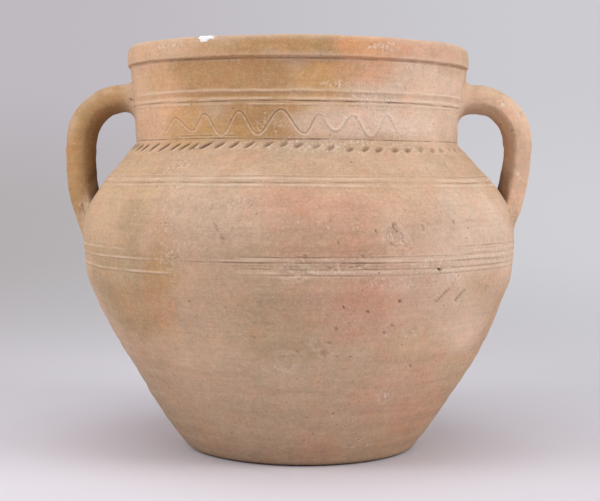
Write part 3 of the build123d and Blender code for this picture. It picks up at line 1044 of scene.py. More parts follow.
class NodeBench:
    """Short ways to add and join the nodes of one material."""

    def __init__(self, material: Material) -> None:
        """Start from the material's own shader.

        Args:
            material: Material whose nodes are laid out.
        """
        material.use_nodes = True
        self.tree = material.node_tree
        self.shader = self.tree.nodes["Principled BSDF"]

    def put(self, socket: Socket, value: object) -> None:
        """Set a socket's own value, or join it to another socket.

        Args:
            socket: Socket to fill.
            value: Number, colour or socket.
        """
        if isinstance(value, Socket):
            self.tree.links.new(value, socket)
        else:
            socket.default_value = value

    def add(self, kind: str, output: str | int, inputs: dict[str | int, object], **choices: str) -> Socket:
        """Add a node and fill its inputs.

        Args:
            kind: Kind of the node.
            output: Output that is wanted.
            inputs: Value or socket for each input that is filled.
            **choices: Settings of the node.

        Returns:
            The socket of that output.
        """
        node = self.tree.nodes.new(f"ShaderNode{kind}")
        for name, choice in choices.items():
            setattr(node, name, choice)
        for name, value in inputs.items():
            self.put(node.inputs[name], value)
        return node.outputs[output]

    def coat(self, inputs: dict[str, object]) -> None:
        """Fill inputs of the shader."""
        for name, value in inputs.items():
            self.put(self.shader.inputs[name], value)

    def coordinates(self, stretch: tuple[float, float, float] = (1.0, 1.0, 1.0)) -> Socket:
        """Object coordinates, scaled along each axis."""
        place = self.add("TexCoord", "Object", {})
        return self.add("Mapping", "Vector", {"Vector": place, "Scale": stretch})

    def attribute(self, name: str, output: str = "Fac") -> Socket:
        """Value of a mesh attribute."""
        return self.add("Attribute", output, {}, attribute_name=name)

    def noise(self, place: Socket, scale: float, detail: float, rough: float) -> Socket:
        """Cloudy noise from 0 to 1, finer by its scale, with layers of detail."""
        inputs = {"Vector": place, "Scale": scale, "Detail": detail, "Roughness": rough}
        return self.add("TexNoise", "Fac", inputs)

    def grains(self, place: Socket, scale: float, radius: float, share: float) -> Socket:
        """Round grains scattered at random.

        Args:
            place: Coordinates.
            scale: Cells per metre.
            radius: Radius of a grain as a share of its cell.
            share: Share of the cells that have a grain.

        Returns:
            1 in a grain and 0 between grains.
        """
        distance = self.add("TexVoronoi", "Distance", {"Vector": place, "Scale": scale})
        choice = self.add("SeparateColor", "Red", {"Color": distance.node.outputs["Color"]})
        chosen = self.between(choice, 1.0 - share - 0.02, 1.0 - share + 0.02)
        size = self.reckon("MULTIPLY", self.between(choice.node.outputs["Green"], -0.6, 1.0), radius)
        outside = self.between(self.reckon("DIVIDE", distance, size), 0.6, 1.0)
        return self.reckon("MULTIPLY", self.reckon("SUBTRACT", 1.0, outside), chosen)

    def between(self, value: Socket, low: float, high: float) -> Socket:
        """Rise from 0 to 1 between two values."""
        inputs = {"Value": value, "From Min": low, "From Max": high}
        return self.add("MapRange", "Result", inputs, interpolation_type="SMOOTHSTEP")

    def reckon(self, operation: str, *values: object) -> Socket:
        """One step of arithmetic on numbers or sockets."""
        return self.add("Math", "Value", dict(enumerate(values)), operation=operation)

    def layered(self, base: float, layers: tuple[tuple[Socket, float], ...]) -> Socket:
        """Layers added up by their weights.

        Args:
            base: Number to start from.
            layers: Each layer and its weight.

        Returns:
            The sum.
        """
        total = base
        for layer, weight in layers:
            total = self.reckon("MULTIPLY_ADD", layer, weight, total)
        return total

    def blend(self, share: object, first: object, second: object, mode: str = "MIX") -> Socket:
        """Mix of two colours, by the share of the second."""
        inputs = {"Factor": share, FIRST_COLOUR: first, SECOND_COLOUR: second}
        return self.add("Mix", MIXED_COLOUR, inputs, data_type="RGBA", blend_type=mode)

    def paint(self, colour: Socket, mask: Socket, strength: float, clay: Clay) -> Socket:
        """Lay a colour over another where a mask shows it."""
        return self.blend(self.reckon("MULTIPLY", mask, strength), colour, clay.socket())

    def bump(self, height: Socket, depth: float, strength: float) -> None:
        """Give the shader a bumpy surface of a depth in metres."""
        inputs = {"Height": height, "Distance": depth, "Strength": strength}
        self.coat({"Normal": self.add("Bump", "Normal", inputs)})


@dataclass(frozen=True)
class FiredClay:
    """Coarse low-fired earthenware with grit, pores, streaks and lime. Its bump depth is in metres."""

    name: str = "fired_clay"
    gloss: float = 0.22
    bump_depth: float = 0.0009
    bump_strength: float = 0.55
    warm_tint: Colour = (1.05, 0.95, 0.9, 1.0)
    cool_tint: Colour = (0.96, 1.0, 0.97, 1.0)

    def make(self) -> Material:
        """Lay out the clay over the colours and marks of each piece's vertices.

        Returns:
            The material.
        """
        material = bpy.data.materials.new(self.name)
        bench = NodeBench(material)
        place = bench.coordinates()
        clouds = bench.noise(place, 26.0, 5.0, 0.6)
        mottle = bench.noise(place, 120.0, 6.0, 0.68)
        flecks = bench.noise(place, 310.0, 5.0, 0.75)
        grain = bench.noise(place, 760.0, 4.0, 0.75)
        streaks = bench.noise(bench.coordinates((1.0, 1.0, 14.0)), 30.0, 4.0, 0.6)
        tint = bench.noise(bench.coordinates((1.3, 1.0, 1.1)), 48.0, 4.0, 0.6)

        tones = ((clouds, 0.36), (mottle, 0.42), (flecks, 0.42), (grain, 0.5), (streaks, 0.3))
        inputs = {0: bench.attribute("wash", "Color"), "Scale": bench.layered(0.01, tones)}
        colour = bench.add("VectorMath", "Vector", inputs, operation="SCALE")
        for start, end, hue in ((0.48, 0.7, self.warm_tint), (0.52, 0.3, self.cool_tint)):
            share = bench.reckon("MULTIPLY", bench.between(tint, start, end), 0.8)
            colour = bench.blend(share, colour, hue, "MULTIPLY")

        crust = bench.attribute("crust")
        # Pale wear on edges, and painted highlight on lips, ridges and the handles' outer edges.
        colour = bench.paint(colour, bench.attribute("wear_and_highlight"), 0.55, Clay.PALE_WEAR_AND_HIGHLIGHT)
        lime_cloud = bench.between(bench.noise(place, 380.0, 8.0, 0.7), 0.49, 0.6)
        lime = bench.reckon("MULTIPLY", lime_cloud, crust)
        colour = bench.paint(colour, lime, 0.95, Clay.CRUST)

        pale_grains = bench.grains(place, 260.0, 0.26, 0.08)
        colour = bench.paint(colour, pale_grains, 0.4, Clay.CRUST)
        dark_grains = bench.grains(bench.coordinates((1.0, 1.0, 1.15)), 240.0, 0.28, 0.1)
        colour = bench.paint(colour, dark_grains, 0.45, Clay.GRIT)
        pores = bench.grains(bench.coordinates((0.9, 1.0, 1.2)), 105.0, 0.11, 0.3)
        colour = bench.paint(colour, pores, 0.55, Clay.DIRT)
        chips = bench.grains(bench.coordinates((1.0, 1.1, 1.3)), 90.0, 0.14, 0.22)
        chips = bench.reckon("MULTIPLY", chips, bench.layered(0.06, ((crust, 1.4),)))
        colour = bench.paint(colour, chips, 0.7, Clay.CRUST)
        pits = bench.grains(bench.coordinates((1.1, 0.95, 1.0)), 330.0, 0.34, 0.4)
        pits = bench.reckon("MULTIPLY", pits, crust)
        colour = bench.paint(colour, pits, 0.55, Clay.GRIT)
        # Dirt in cuts, and painted shade in the handle creases, notches, corners, under the rim and along the
        # foot.
        colour = bench.paint(colour, bench.attribute("cut"), 0.5, Clay.DIRT)

        rough = bench.layered(0.78, ((mottle, 0.2),))
        bench.coat({"Base Color": colour, "Roughness": rough, "Specular IOR Level": self.gloss})
        raised = ((grain, 0.34), (mottle, 0.4), (flecks, 0.4), (streaks, 0.3), (lime, 0.7), (chips, 0.5))
        sunk = ((pores, -1.2), (pits, -0.8))
        bench.bump(bench.layered(0.0, raised + sunk), self.bump_depth, self.bump_strength)
        return material


@dataclass(frozen=True)
class PatchPlaster:
    """White plaster smeared into the broken lip, with grey dust on it."""

    name: str = "patch_plaster"
    white: Colour = (0.97, 0.96, 0.95, 1.0)
    grey: Colour = (0.7, 0.62, 0.54, 1.0)

    def make(self) -> Material:
        """Lay out chalky white with a little dust in its hollows.

        Returns:
            The material.
        """
        material = bpy.data.materials.new(self.name)
        bench = NodeBench(material)
        place = bench.coordinates()
        dust = bench.between(bench.noise(place, 330.0, 6.0, 0.65), 0.52, 0.75)
        colour = bench.blend(bench.reckon("MULTIPLY", dust, 0.2), self.white, self.grey)
        bench.coat({"Base Color": colour, "Roughness": 0.95, "Specular IOR Level": 0.15})
        bench.bump(bench.noise(place, 700.0, 4.0, 0.6), 0.0006, 0.5)
        return material


@dataclass(frozen=True)
class StudioPaper:
    """Pale seamless paper: lit near the jar, an even grey far behind it, darker on the left.

    The floor darkens to the right as a painted shadow of the jar. The bounce colours are those of the floor
    for the light that it throws back. The low and high colours are seen far away, down near the floor and up
    on the wall, and begin to show at the near distance.
    """

    name: str = "studio_paper"
    floor: Colour = (0.735, 0.708, 0.755, 1.0)
    floor_right_shadowed: Colour = (0.665, 0.645, 0.685, 1.0)
    bounce_near: Colour = (0.54, 0.52, 0.54, 1.0)
    bounce_far: Colour = (0.77, 0.74, 0.79, 1.0)
    low_left: Colour = (0.455, 0.43, 0.44, 1.0)
    low_right: Colour = (0.645, 0.643, 0.672, 1.0)
    high_left: Colour = (0.522, 0.485, 0.528, 1.0)
    high_right: Colour = (0.604, 0.6, 0.635, 1.0)
    half_width: float = 0.95
    near: float = 0.3
    fade: float = 0.6

    def make(self) -> Material:
        """Lay out matt paper that keeps the jar's shadow near it.

        Returns:
            The material.
        """
        material = bpy.data.materials.new(self.name)
        bench = NodeBench(material)
        side = bench.add("SeparateXYZ", "X", {"Vector": bench.coordinates()})
        height = side.node.outputs["Z"]
        away = bench.add("VectorMath", "Value", {0: bench.coordinates()}, operation="LENGTH")
        seen = bench.add("LightPath", "Is Camera Ray", {})
        # The floor near the jar darkens to the right: painted shadow of the jar.
        lit = bench.blend(bench.between(side, -0.3, 0.4), self.floor, self.floor_right_shadowed)
        bounce = bench.blend(bench.between(away, 0.12, 0.5), self.bounce_near, self.bounce_far)
        paper = bench.blend(seen, bounce, lit)
        bench.coat({"Base Color": paper, "Roughness": 1.0, "Specular IOR Level": 0.0})
        share = bench.between(side, -self.half_width, self.half_width)
        low = bench.blend(share, self.low_left, self.low_right)
        high = bench.blend(share, self.high_left, self.high_right)
        far_colour = bench.blend(bench.between(height, 0.1, 0.55), low, high)
        glow = bench.add("Emission", "Emission", {"Color": far_colour})
        past = bench.reckon("SUBTRACT", self.near, away)
        kept = bench.reckon("EXPONENT", bench.reckon("DIVIDE", past, self.fade))
        lost = bench.reckon("MAXIMUM", bench.reckon("SUBTRACT", 1.0, kept), 0.0)
        inputs = {"Fac": bench.reckon("MULTIPLY", lost, seen), 1: bench.shader.outputs["BSDF"], 2: glow}
        surface = bench.tree.nodes["Material Output"].inputs["Surface"]
        bench.put(surface, bench.add("MixShader", "Shader", inputs))
        return material


def named(name: str) -> Piece:
    """Name the piece that was just added."""
    bpy.context.object.name = bpy.context.object.data.name = name
    return bpy.context.object


def edit_whole() -> None:
    """Open the active piece for editing with all of it selected."""
    bpy.ops.object.mode_set(mode="EDIT")
    bpy.ops.mesh.select_all(action="SELECT")


def close_smooth() -> None:
    """Turn the faces of the active piece outward and shade it smooth."""
    edit_whole()
    bpy.ops.mesh.normals_make_consistent(inside=False)
    bpy.ops.object.mode_set(mode="OBJECT")
    bpy.ops.object.shade_smooth()


def spun(name: str, outline: list[tuple[float, float]], steps: int, closed: bool) -> Piece:
    """Turn an outline round the upright axis, as on a wheel.

    Args:
        name: Name of the new piece.
        outline: Radius and level of each row in millimetres.
        steps: Steps round the turn, a multiple of 16.
        closed: Whether the last row joins the first.

    Returns:
        The piece, with the number of its row on each vertex.
    """
    bpy.ops.object.select_all(action="DESELECT")
    bpy.ops.mesh.primitive_plane_add(size=MM)
    piece = named(name)
    edit_whole()
    bpy.ops.mesh.merge(type="CENTER")
    spots = [Vector((radius * MM, 0.0, level * MM)) for radius, level in outline]
    bpy.ops.transform.translate(value=spots[0])
    for here, there in zip(spots, spots[1:]):
        bpy.ops.mesh.extrude_region_move(TRANSFORM_OT_translate={"value": there - here})
    bpy.ops.mesh.select_all(action="SELECT")
    if closed:
        bpy.ops.mesh.edge_face_add()
        bpy.ops.mesh.delete(type="ONLY_FACE")
    bpy.ops.object.mode_set(mode="OBJECT")
    row = piece.data.attributes.new("row", "INT", "POINT")
    row.data.foreach_set("value", rows_of(piece, spots))
    edit_whole()
    sector = 2.0 * math.pi / 2**DOUBLINGS
    bpy.ops.mesh.spin(steps=steps // 2**DOUBLINGS, angle=sector, center=AXIS_FOOT, axis=(0.0, 0.0, 1.0))
    for doubling in range(DOUBLINGS):
        bpy.ops.mesh.select_all(action="SELECT")
        bpy.ops.mesh.duplicate()
        bpy.ops.transform.rotate(value=sector * 2**doubling, orient_axis="Z", center_override=AXIS_FOOT)
    bpy.ops.mesh.select_all(action="SELECT")
    bpy.ops.mesh.remove_doubles(threshold=MERGE_DISTANCE)
    bpy.ops.mesh.normals_make_consistent(inside=False)
    bpy.ops.mesh.select_all(action="DESELECT")
    bpy.ops.mesh.select_mode(type="EDGE")
    bpy.ops.mesh.edges_select_sharp(sharpness=math.radians(SHARP_EDGE))
    bpy.ops.mesh.mark_sharp()
    bpy.ops.mesh.select_mode(type="VERT")
    bpy.ops.object.mode_set(mode="OBJECT")
    bpy.ops.object.shade_smooth()
    return piece


def rows_of(piece: Piece, spots: list[Vector]) -> list[int]:
    """Number of the outline's row that each vertex stands on."""
    corners = np.array(spots)
    return [int(np.argmin(np.linalg.norm(corners - np.array(v.co), axis=1))) for v in piece.data.vertices]


def read_points(piece: Piece) -> Array:
    """Vertices of a piece.

    Args:
        piece: Piece to read.

    Returns:
        One point in millimetres per row.
    """
    flat = np.zeros(len(piece.data.vertices) * 3)
    piece.data.vertices.foreach_get("co", flat)
    return flat.reshape(-1, 3) / MM


def write_points(piece: Piece, points: Array) -> None:
    """Move the vertices of a piece to places in millimetres."""
    piece.data.vertices.foreach_set("co", (points * MM).ravel())
    piece.data.update()


def write_marks(piece: Piece, wash: Array, relief: Relief) -> None:
    """Keep the colours and marks of a piece on its vertices.

    Args:
        piece: Piece to mark.
        wash: Linear colour of each vertex.
        relief: Marks of each vertex.
    """
    mesh = piece.data
    colour = mesh.attributes.new("wash", "FLOAT_COLOR", "POINT")
    opaque = np.ones((len(wash), 1))
    colour.data.foreach_set("color", np.hstack([wash, opaque]).astype(np.float32).ravel())
    for name, values in (("cut", relief.cut), ("wear_and_highlight", relief.wear_and_highlight), ("crust", relief.crust)):
        mark = mesh.attributes.new(name, "FLOAT", "POINT")
        mark.data.foreach_set("value", np.clip(values, 0.0, STRONGEST_MARK).astype(np.float32))


def settle(piece: Piece, material: Material, nodes: tuple[str, ...]) -> None:
    """Finish a piece, fix it to the jar and let it stand for its CAD nodes.

    Args:
        piece: Finished piece.
        material: Its material.
        nodes: CAD nodes that it replaces.
    """
    piece.data.materials.clear()
    piece.data.materials.append(material)
    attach(piece, BODY)
    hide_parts(*nodes)
    LOG.info("%s: %d faces, stands for %s", piece.name, len(piece.data.polygons), ", ".join(nodes))


@dataclass(frozen=True)
class Row:
    """One row of a turned outline, with its shares of the outer relief and the inner finger marks."""

    radius: float
    level: float
    outer: float = 0.0
    inner: float = 0.0


@dataclass
class TurnedSection:
    """A ring of the jar's wall, thrown on the wheel.

    Each band of its outside has a bottom, a top and a spacing of rows. Steps are those round the turn.
    Its outline is closed where it doesn't begin and end on the axis.
    """

    name: str
    nodes: tuple[str, ...]
    skin: WallSkin
    weathering: Weathering
    bands: tuple[tuple[float, float, float], ...]
    steps: int = 720
    inside_step: float = 4.0
    finger_marks: Ripple = Ripple(59, 16.0, 9.0)
    finger_height: float = 0.45
    closed: bool = True

    def rows(self) -> list[Row]:
        """Outline of the section, up the outside and down the inside.

        Returns:
            The rows in order.
        """
        form = self.skin.form
        levels: list[float] = []
        for bottom, top, step in self.bands:
            levels += levels_between(bottom, top, step)[1 if levels else 0:]
        rows = [Row(float(form.outside(level)), level, outer=1.0) for level in levels]
        for level in levels_between(levels[-1], levels[0], self.inside_step):
            rows.append(Row(float(form.inside(level)), level, inner=1.0))
        return rows

    def outside_relief(self, angle: Array, level: Array) -> Relief:
        """Relief of the outside rows."""
        return self.skin.relief(angle, level)

    def build(self) -> Piece:
        """Throw the section and work its surface.

        Returns:
            The piece, with colours and marks on its vertices.
        """
        rows = self.rows()
        form = self.skin.form
        piece = spun(self.name, [(row.radius, row.level) for row in rows], self.steps, self.closed)
        points = read_points(piece)
        index = np.zeros(len(points), np.int32)
        piece.data.attributes["row"].data.foreach_get("value", index)
        piece.data.attributes.remove(piece.data.attributes["row"])
        angle = np.degrees(np.arctan2(points[:, 0], -points[:, 1]))
        table = np.array([(row.radius, row.level, row.outer, row.inner) for row in rows])
        radius, level, outer, inner = table[index].T
        whole = Relief.flat(len(points))
        whole.add(self.outside_relief(angle, level), outer)
        normal = self.normals(rows)[index]
        plain = form.place(angle, radius, level)
        height = whole.height + self.finger_height * self.finger_marks.at(plain) * inner
        new_radius = np.minimum(radius + normal[:, 0] * height, form.belly_radius)
        new_level = np.clip(level + normal[:, 1] * height, 0.0, form.top_level)
        write_points(piece, form.place(angle, new_radius, new_level))
        whole.crust = np.maximum(whole.crust, self.weathering.lime(angle, level) * np.maximum(outer, 0.5))
        wash = self.weathering.wash(angle, level)
        inside = Clay.INSIDE.linear() * (1.0 + 0.05 * self.weathering.broad_swell.at(plain))[:, None]
        wash = wash + (inside - wash) * ramp(inner, 0.0, 1.0)[:, None]
        write_marks(piece, wash, whole)
        return piece

    def normals(self, rows: list[Row]) -> Array:
        """Outward direction of each row.

        Args:
            rows: Outline of the section.

        Returns:
            Unit directions in radius and level, one per row.
        """
        slope = self.skin.form.slope(np.array([row.level for row in rows]))
        steep = np.sqrt(1.0 + slope**2)
        facing = np.array([1.0 if row.outer > 0.0 else -1.0 for row in rows])
        return np.stack([facing / steep, -facing * slope / steep], axis=1)

    def dress(self, piece: Piece, material: Material) -> None:
        """Give the piece its finish and fix it to the jar."""
        settle(piece, material, self.nodes)


@dataclass
class BaseDish(TurnedSection):
    """The foot and the floor of the jar, cut from the wheel.

    The corner between wall and floor has a radius, and a rise and run that are shares of it. Rows within
    the floor's reach face up.
    """

    floor_rows: int = 14
    corner: float = 9.0
    corner_rise: float = 0.35
    corner_run: float = 0.9
    foot_step: float = 1.8
    wall_step: float = 2.0
    floor_reach: float = 0.5
    closed: bool = False

    def rows(self) -> list[Row]:
        """Outline from the middle of the underside, up the foot and back over the floor.

        Returns:
            The rows in order.
        """
        form = self.skin.form
        flat = form.foot_radius - form.foot_undercut
        rows = [Row(flat * step / self.floor_rows, 0.0) for step in range(self.floor_rows + 1)]
        lifts = [form.foot_rounding * (1.0 - math.cos(bend)) for bend in quarter_turn(6, 1)]
        for level in [*lifts, *levels_between(form.foot_rounding, form.base_seam, self.foot_step)[1:]]:
            rows.append(Row(float(form.outside(level)), level, outer=1.0))
        wall_foot = form.floor + self.corner_rise * self.corner
        for level in levels_between(form.base_seam, wall_foot, self.wall_step):
            rows.append(Row(float(form.inside(level)), level, inner=1.0))
        edge = float(form.inside(wall_foot))
        for bend in quarter_turn(5, 1):
            radius = edge - self.corner * math.sin(bend) * self.corner_run
            level = form.floor + self.corner_rise * self.corner * (1.0 - math.sin(bend))
            rows.append(Row(radius, level, inner=1.0))
        last = rows[-1].radius
        for step in range(self.floor_rows - 1, -1, -1):
            rows.append(Row(last * step / self.floor_rows, form.floor, inner=1.0))
        return rows

    def normals(self, rows: list[Row]) -> Array:
        """Outward direction of each row: up on the floor, sideways on the foot.

        Args:
            rows: Outline of the base.

        Returns:
            Unit directions in radius and level, one per row.
        """
        normals = super().normals(rows)
        lowest = self.skin.form.floor + self.floor_reach
        flat = [index for index, row in enumerate(rows) if row.inner > 0.0 and row.level < lowest]
        normals[flat] = (0.0, 1.0)
        return normals


@dataclass
class RimRing(TurnedSection):
    """The square rim that overhangs the neck. Its top and underside take shares of the face's relief."""

    lower_rounding: float = 1.5
    upper_rounding: float = 2.0
    inner_rounding: float = 2.2
    fullness: float = 0.35
    face_step: float = 0.9
    mouth_step: float = 2.0
    top_rows: int = 8
    top_share: float = 0.2
    under_share: float = 0.4
    face_swell: Ripple = Ripple(61, 34.0, 2.0)
    fine_swell: Ripple = Ripple(67, 9.0, 1.5)
    chip_swell: Ripple = Ripple(71, 11.0)

    def rows(self) -> list[Row]:
        """Outline from the top of the neck, round the rim and down the mouth.

        Returns:
            The rows in order.
        """
        form = self.skin.form
        low, high, mouth = self.lower_rounding, self.upper_rounding, self.inner_rounding
        rows = [Row(float(form.neck_top_radius), form.rim_level)]
        rows.append(Row(form.rim_radius - low - 0.4, form.rim_level, outer=self.under_share))
        for bend in quarter_turn(4):
            radius = form.rim_radius - low * (1.0 - math.sin(bend))
            rows.append(Row(radius, form.rim_level + low * (1.0 - math.cos(bend)), outer=1.0))
        bottom, top = form.rim_level + low, form.top_level - high
        for level in levels_between(bottom, top, self.face_step)[1:]:
            share = (level - bottom) / (top - bottom)
            radius = form.rim_radius + (form.rim_top_radius - form.rim_radius) * share
            rows.append(Row(radius + self.fullness * math.sin(math.pi * share), level, outer=1.0))
        for bend in quarter_turn(6, 1):
            radius = form.rim_top_radius - high * (1.0 - math.cos(bend))
            rows.append(Row(radius, top + high * math.sin(bend), outer=1.0))
        flat_end = form.mouth_radius + mouth
        flat_start = form.rim_top_radius - high
        for step in range(1, self.top_rows):
            radius = flat_start + (flat_end - flat_start) * step / self.top_rows
            rows.append(Row(radius, form.top_level, outer=self.top_share))
        for bend in quarter_turn(6):
            level = form.top_level - mouth * (1.0 - math.cos(bend))
            rows.append(Row(flat_end - mouth * math.sin(bend), level, outer=self.top_share))
        for level in levels_between(form.top_level - mouth, form.rim_level, self.mouth_step)[1:]:
            rows.append(Row(form.mouth_radius, level, inner=1.0))
        return rows

    def normals(self, rows: list[Row]) -> Array:
        """Outward direction of each row, square to its neighbours.

        Args:
            rows: Outline of the rim.

        Returns:
            Unit directions in radius and level, one per row.
        """
        place = np.array([(row.radius, row.level) for row in rows])
        along = np.roll(place, -1, axis=0) - np.roll(place, 1, axis=0)
        across = np.stack([along[:, 1], -along[:, 0]], axis=1)
        return across / np.linalg.norm(across, axis=1)[:, None]

    def outside_relief(self, angle: Array, level: Array) -> Relief:
        """Uneven face with nicks along the upper edge.

        Args:
            angle: Degrees round the jar.
            level: Levels above the floor.

        Returns:
            The relief at each place.
        """
        form = self.skin.form
        points = form.place(angle, np.full(len(angle), form.rim_radius), level)
        relief = Relief.flat(len(angle))
        relief.height = 0.26 * self.face_swell.at(points) + 0.09 * self.fine_swell.at(points) - 0.3
        edge = hill(level - form.top_level + 1.0, 2.6)
        nicks = ramp(self.chip_swell.at(points), 1.15, 2.0) * edge
        relief.height -= 0.9 * nicks + 0.1 * edge
        relief.cut = 0.35 * nicks
        relief.wear_and_highlight = 0.5 * edge + 0.4 * hill(level - form.rim_level - 1.2, 1.4)
        return relief


@dataclass
class StrapHandle:
    """A handle pulled from soft clay, pressed on to the neck and smoothed down on the shoulder.

    A spot on its front is a distance from the axis and a level.

    Attributes:
        spine: Spots along its middle line.
        clay: Colour of its outer face.
        inner: Colour of its inner face.
        dents: Spot, radius and depth of each mark.
        flecks: Spot and radius of each fleck of lime.
        squareness: Power of the curve from its edges to the ridge down its front.
        turn_in: Width of the change from the outer to the inner colour, 1 being half the face.
        lean: Shift of the ridge towards the jar, 1 being half the thickness.
        torn: Spot and radius of the rough patch at its foot.
        taper: Share of its thickness that is missing near the neck.
        shade: Strength of the painted shade on its front towards the jar.
        neck_spread: How far the root on the neck runs out above, beside and below the handle.
        foot_spread: How far the root on the shoulder runs out on its outer and inner side.
        bury: Depth of the roots' edges under the wall.
        root_depth: Depth of the handle's ends in the wall.
    """

    side: Side
    spine: tuple[tuple[float, float], ...]
    skin: WallSkin
    weathering: Weathering
    clay: Clay
    inner: Clay
    thickness: float
    width: float
    dents: tuple[tuple[float, float, float, float], ...] = ()
    flecks: tuple[tuple[float, float, float], ...] = ()
    squareness: float = 1.7
    turn_in: float = 0.5
    lean: float = 0.4
    torn: tuple[float, float, float] = (190.0, 213.0, 8.5)
    taper: float = 0.0
    shade: float = 0.2
    around: int = 104
    free_rings: int = 168
    root_rings: int = 16
    neck_height: float = 13.0
    neck_spread: tuple[float, float, float] = (11.0, 9.0, 12.0)
    foot_height: float = 12.0
    foot_spread: tuple[float, float] = (22.0, 1.6)
    bury: float = 0.3
    root_depth: float = 4.0
    seed: int = 73

    def _middle_line(self) -> tuple[Array, Array]:
        """Points and directions along the middle line, about half a millimetre apart.

        Returns:
            The points and the unit directions, in distance from the axis and level.
        """
        knots = np.array(self.spine)
        ends = np.vstack([2 * knots[0] - knots[1], knots, 2 * knots[-1] - knots[-2]])
        parts = []
        for index in range(1, len(ends) - 2):
            before, start, end, after = ends[index - 1:index + 3]
            t = np.linspace(0.0, 1.0, 40, endpoint=False)[:, None]
            bend = 2 * before - 5 * start + 4 * end - after
            twist = 3 * start - before - 3 * end + after
            parts.append(0.5 * (2 * start + (end - before) * t + bend * t**2 + twist * t**3))
        line = np.vstack([*parts, knots[-1:]])
        direction = np.gradient(line, axis=0)
        return line, direction / np.linalg.norm(direction, axis=1)[:, None]

    def _sweep(self) -> tuple[Array, Array]:
        """Surface of the handle carried on through the walls.

        Returns:
            Points by place along the line and place round the section, and the lengths along the line.
        """
        line, direction = self._middle_line()
        length = np.concatenate([[0.0], np.cumsum(np.linalg.norm(np.diff(line, axis=0), axis=1))])
        share = length / length[-1]
        turn = even_turns(self.around)
        power = 2.0 / self.squareness
        out = np.sign(np.cos(turn)) * np.abs(np.cos(turn)) ** power
        across = np.sin(turn)
        out = out - self.lean * across**2
        thin_root = 1.0 - self.taper * (1.0 - ramp(share, 0.08, 0.36))
        half_thick = self.thickness / 2 * thin_root
        half_wide = self.width / 2 * (1.0 + 0.12 * (2 * share - 1.0) ** 2 + 0.02 * np.sin(9.0 * share))
        normal = np.stack([-direction[:, 1], direction[:, 0]], axis=1)
        x = line[:, 0:1] + normal[:, 0:1] * half_thick[:, None] * out
        z = line[:, 1:2] + normal[:, 1:2] * half_thick[:, None] * out
        y = half_wide[:, None] * across
        return np.stack([self.side.value * x, y, z], axis=2), length

    def _outside_gap(self, points: Array) -> Array:
        """Distance of points from the wall, measured level."""
        _, radius, level = self.skin.form.unplace(points.reshape(-1, 3))
        return (radius - self.skin.form.outside(level)).reshape(points.shape[:-1])

    def _root(self, touch: Array, spread: Array) -> Array:
        """Edge of a root smoothed out on the wall.

        Args:
            touch: Points where the plain handle meets the wall.
            spread: Distance by which the root runs out past each point.

        Returns:
            Points on the wall, just below its surface.
        """
        form = self.skin.form
        angle, radius, level = form.unplace(touch)
        slope = form.slope(level)
        steep = np.sqrt(1.0 + slope**2)
        middle_angle, middle_level = angle_from(angle, angle[0]).mean() + angle[0], level.mean()
        round_jar = np.radians(angle_from(angle, middle_angle)) * radius
        up_wall = (level - middle_level) * steep
        far = np.maximum(np.hypot(round_jar, up_wall), 1e-6)
        new_level = np.minimum(level + spread * up_wall / far / steep, form.rim_level - 0.3)
        new_angle = angle + np.degrees(spread * round_jar / far / radius)
        relief = self.skin.relief(new_angle, new_level)
        return self.skin.points(new_angle, new_level, relief, self.bury)

    def _rings(self) -> Array:
        """All rings of the handle, from inside the neck to inside the belly.

        Returns:
            Points by ring and place round the ring.
        """
        sweep, length = self._sweep()
        outside = self._outside_gap(sweep) > 0.0
        turn = even_turns(self.around)
        out, across = np.cos(turn), np.abs(np.sin(turn))
        columns = np.arange(self.around)
        first = np.array([np.flatnonzero(outside[:, column])[0] for column in columns])
        last = np.array([np.flatnonzero(outside[:, column])[-1] for column in columns])
        neck_touch, foot_touch = sweep[first, columns], sweep[last, columns]
        top, side, under = self.neck_spread
        neck_spread = np.where(out > 0, top, under) * np.abs(out) + side * across
        neck_edge = self._root(neck_touch, neck_spread)
        outer, inner = self.foot_spread
        foot_edge = self._root(foot_touch, inner + (outer - inner) * ramp(out, -0.25, 0.95))
        start = length[first] + self.neck_height
        end = length[last] - self.foot_height * (0.35 + 0.65 * ramp(out, -0.9, 0.3))
        share = np.linspace(0.0, 1.0, self.free_rings)[:, None]
        along = start + (end - start) * share
        free = np.zeros((self.free_rings, self.around, 3))
        for column in columns:
            for axis in range(3):
                free[:, column, axis] = np.interp(along[:, column], length, sweep[:, column, axis])
        t = np.linspace(0.0, 1.0, self.root_rings)[:, None, None]
        neck = (1 - t) ** 2 * free[0] + 2 * t * (1 - t) * neck_touch + t**2 * neck_edge
        foot = (1 - t) ** 2 * free[-1] + 2 * t * (1 - t) * foot_touch + t**2 * foot_edge
        inward = np.array([self.side.value * self.root_depth, 0.0, 0.0])
        neck_end = 0.85 * neck_edge + 0.15 * neck_edge.mean(axis=0) - inward
        foot_end = 0.85 * foot_edge + 0.15 * foot_edge.mean(axis=0) - inward
        return np.concatenate([neck_end[None], neck[:0:-1], free, foot[1:], foot_end[None]])

    def _from_spot(self, points: Array, out: float, level: float) -> Array:
        """Distance of points from a spot, as seen from the front."""
        return np.hypot(self.side.value * points[:, 0] - out, points[:, 2] - level)

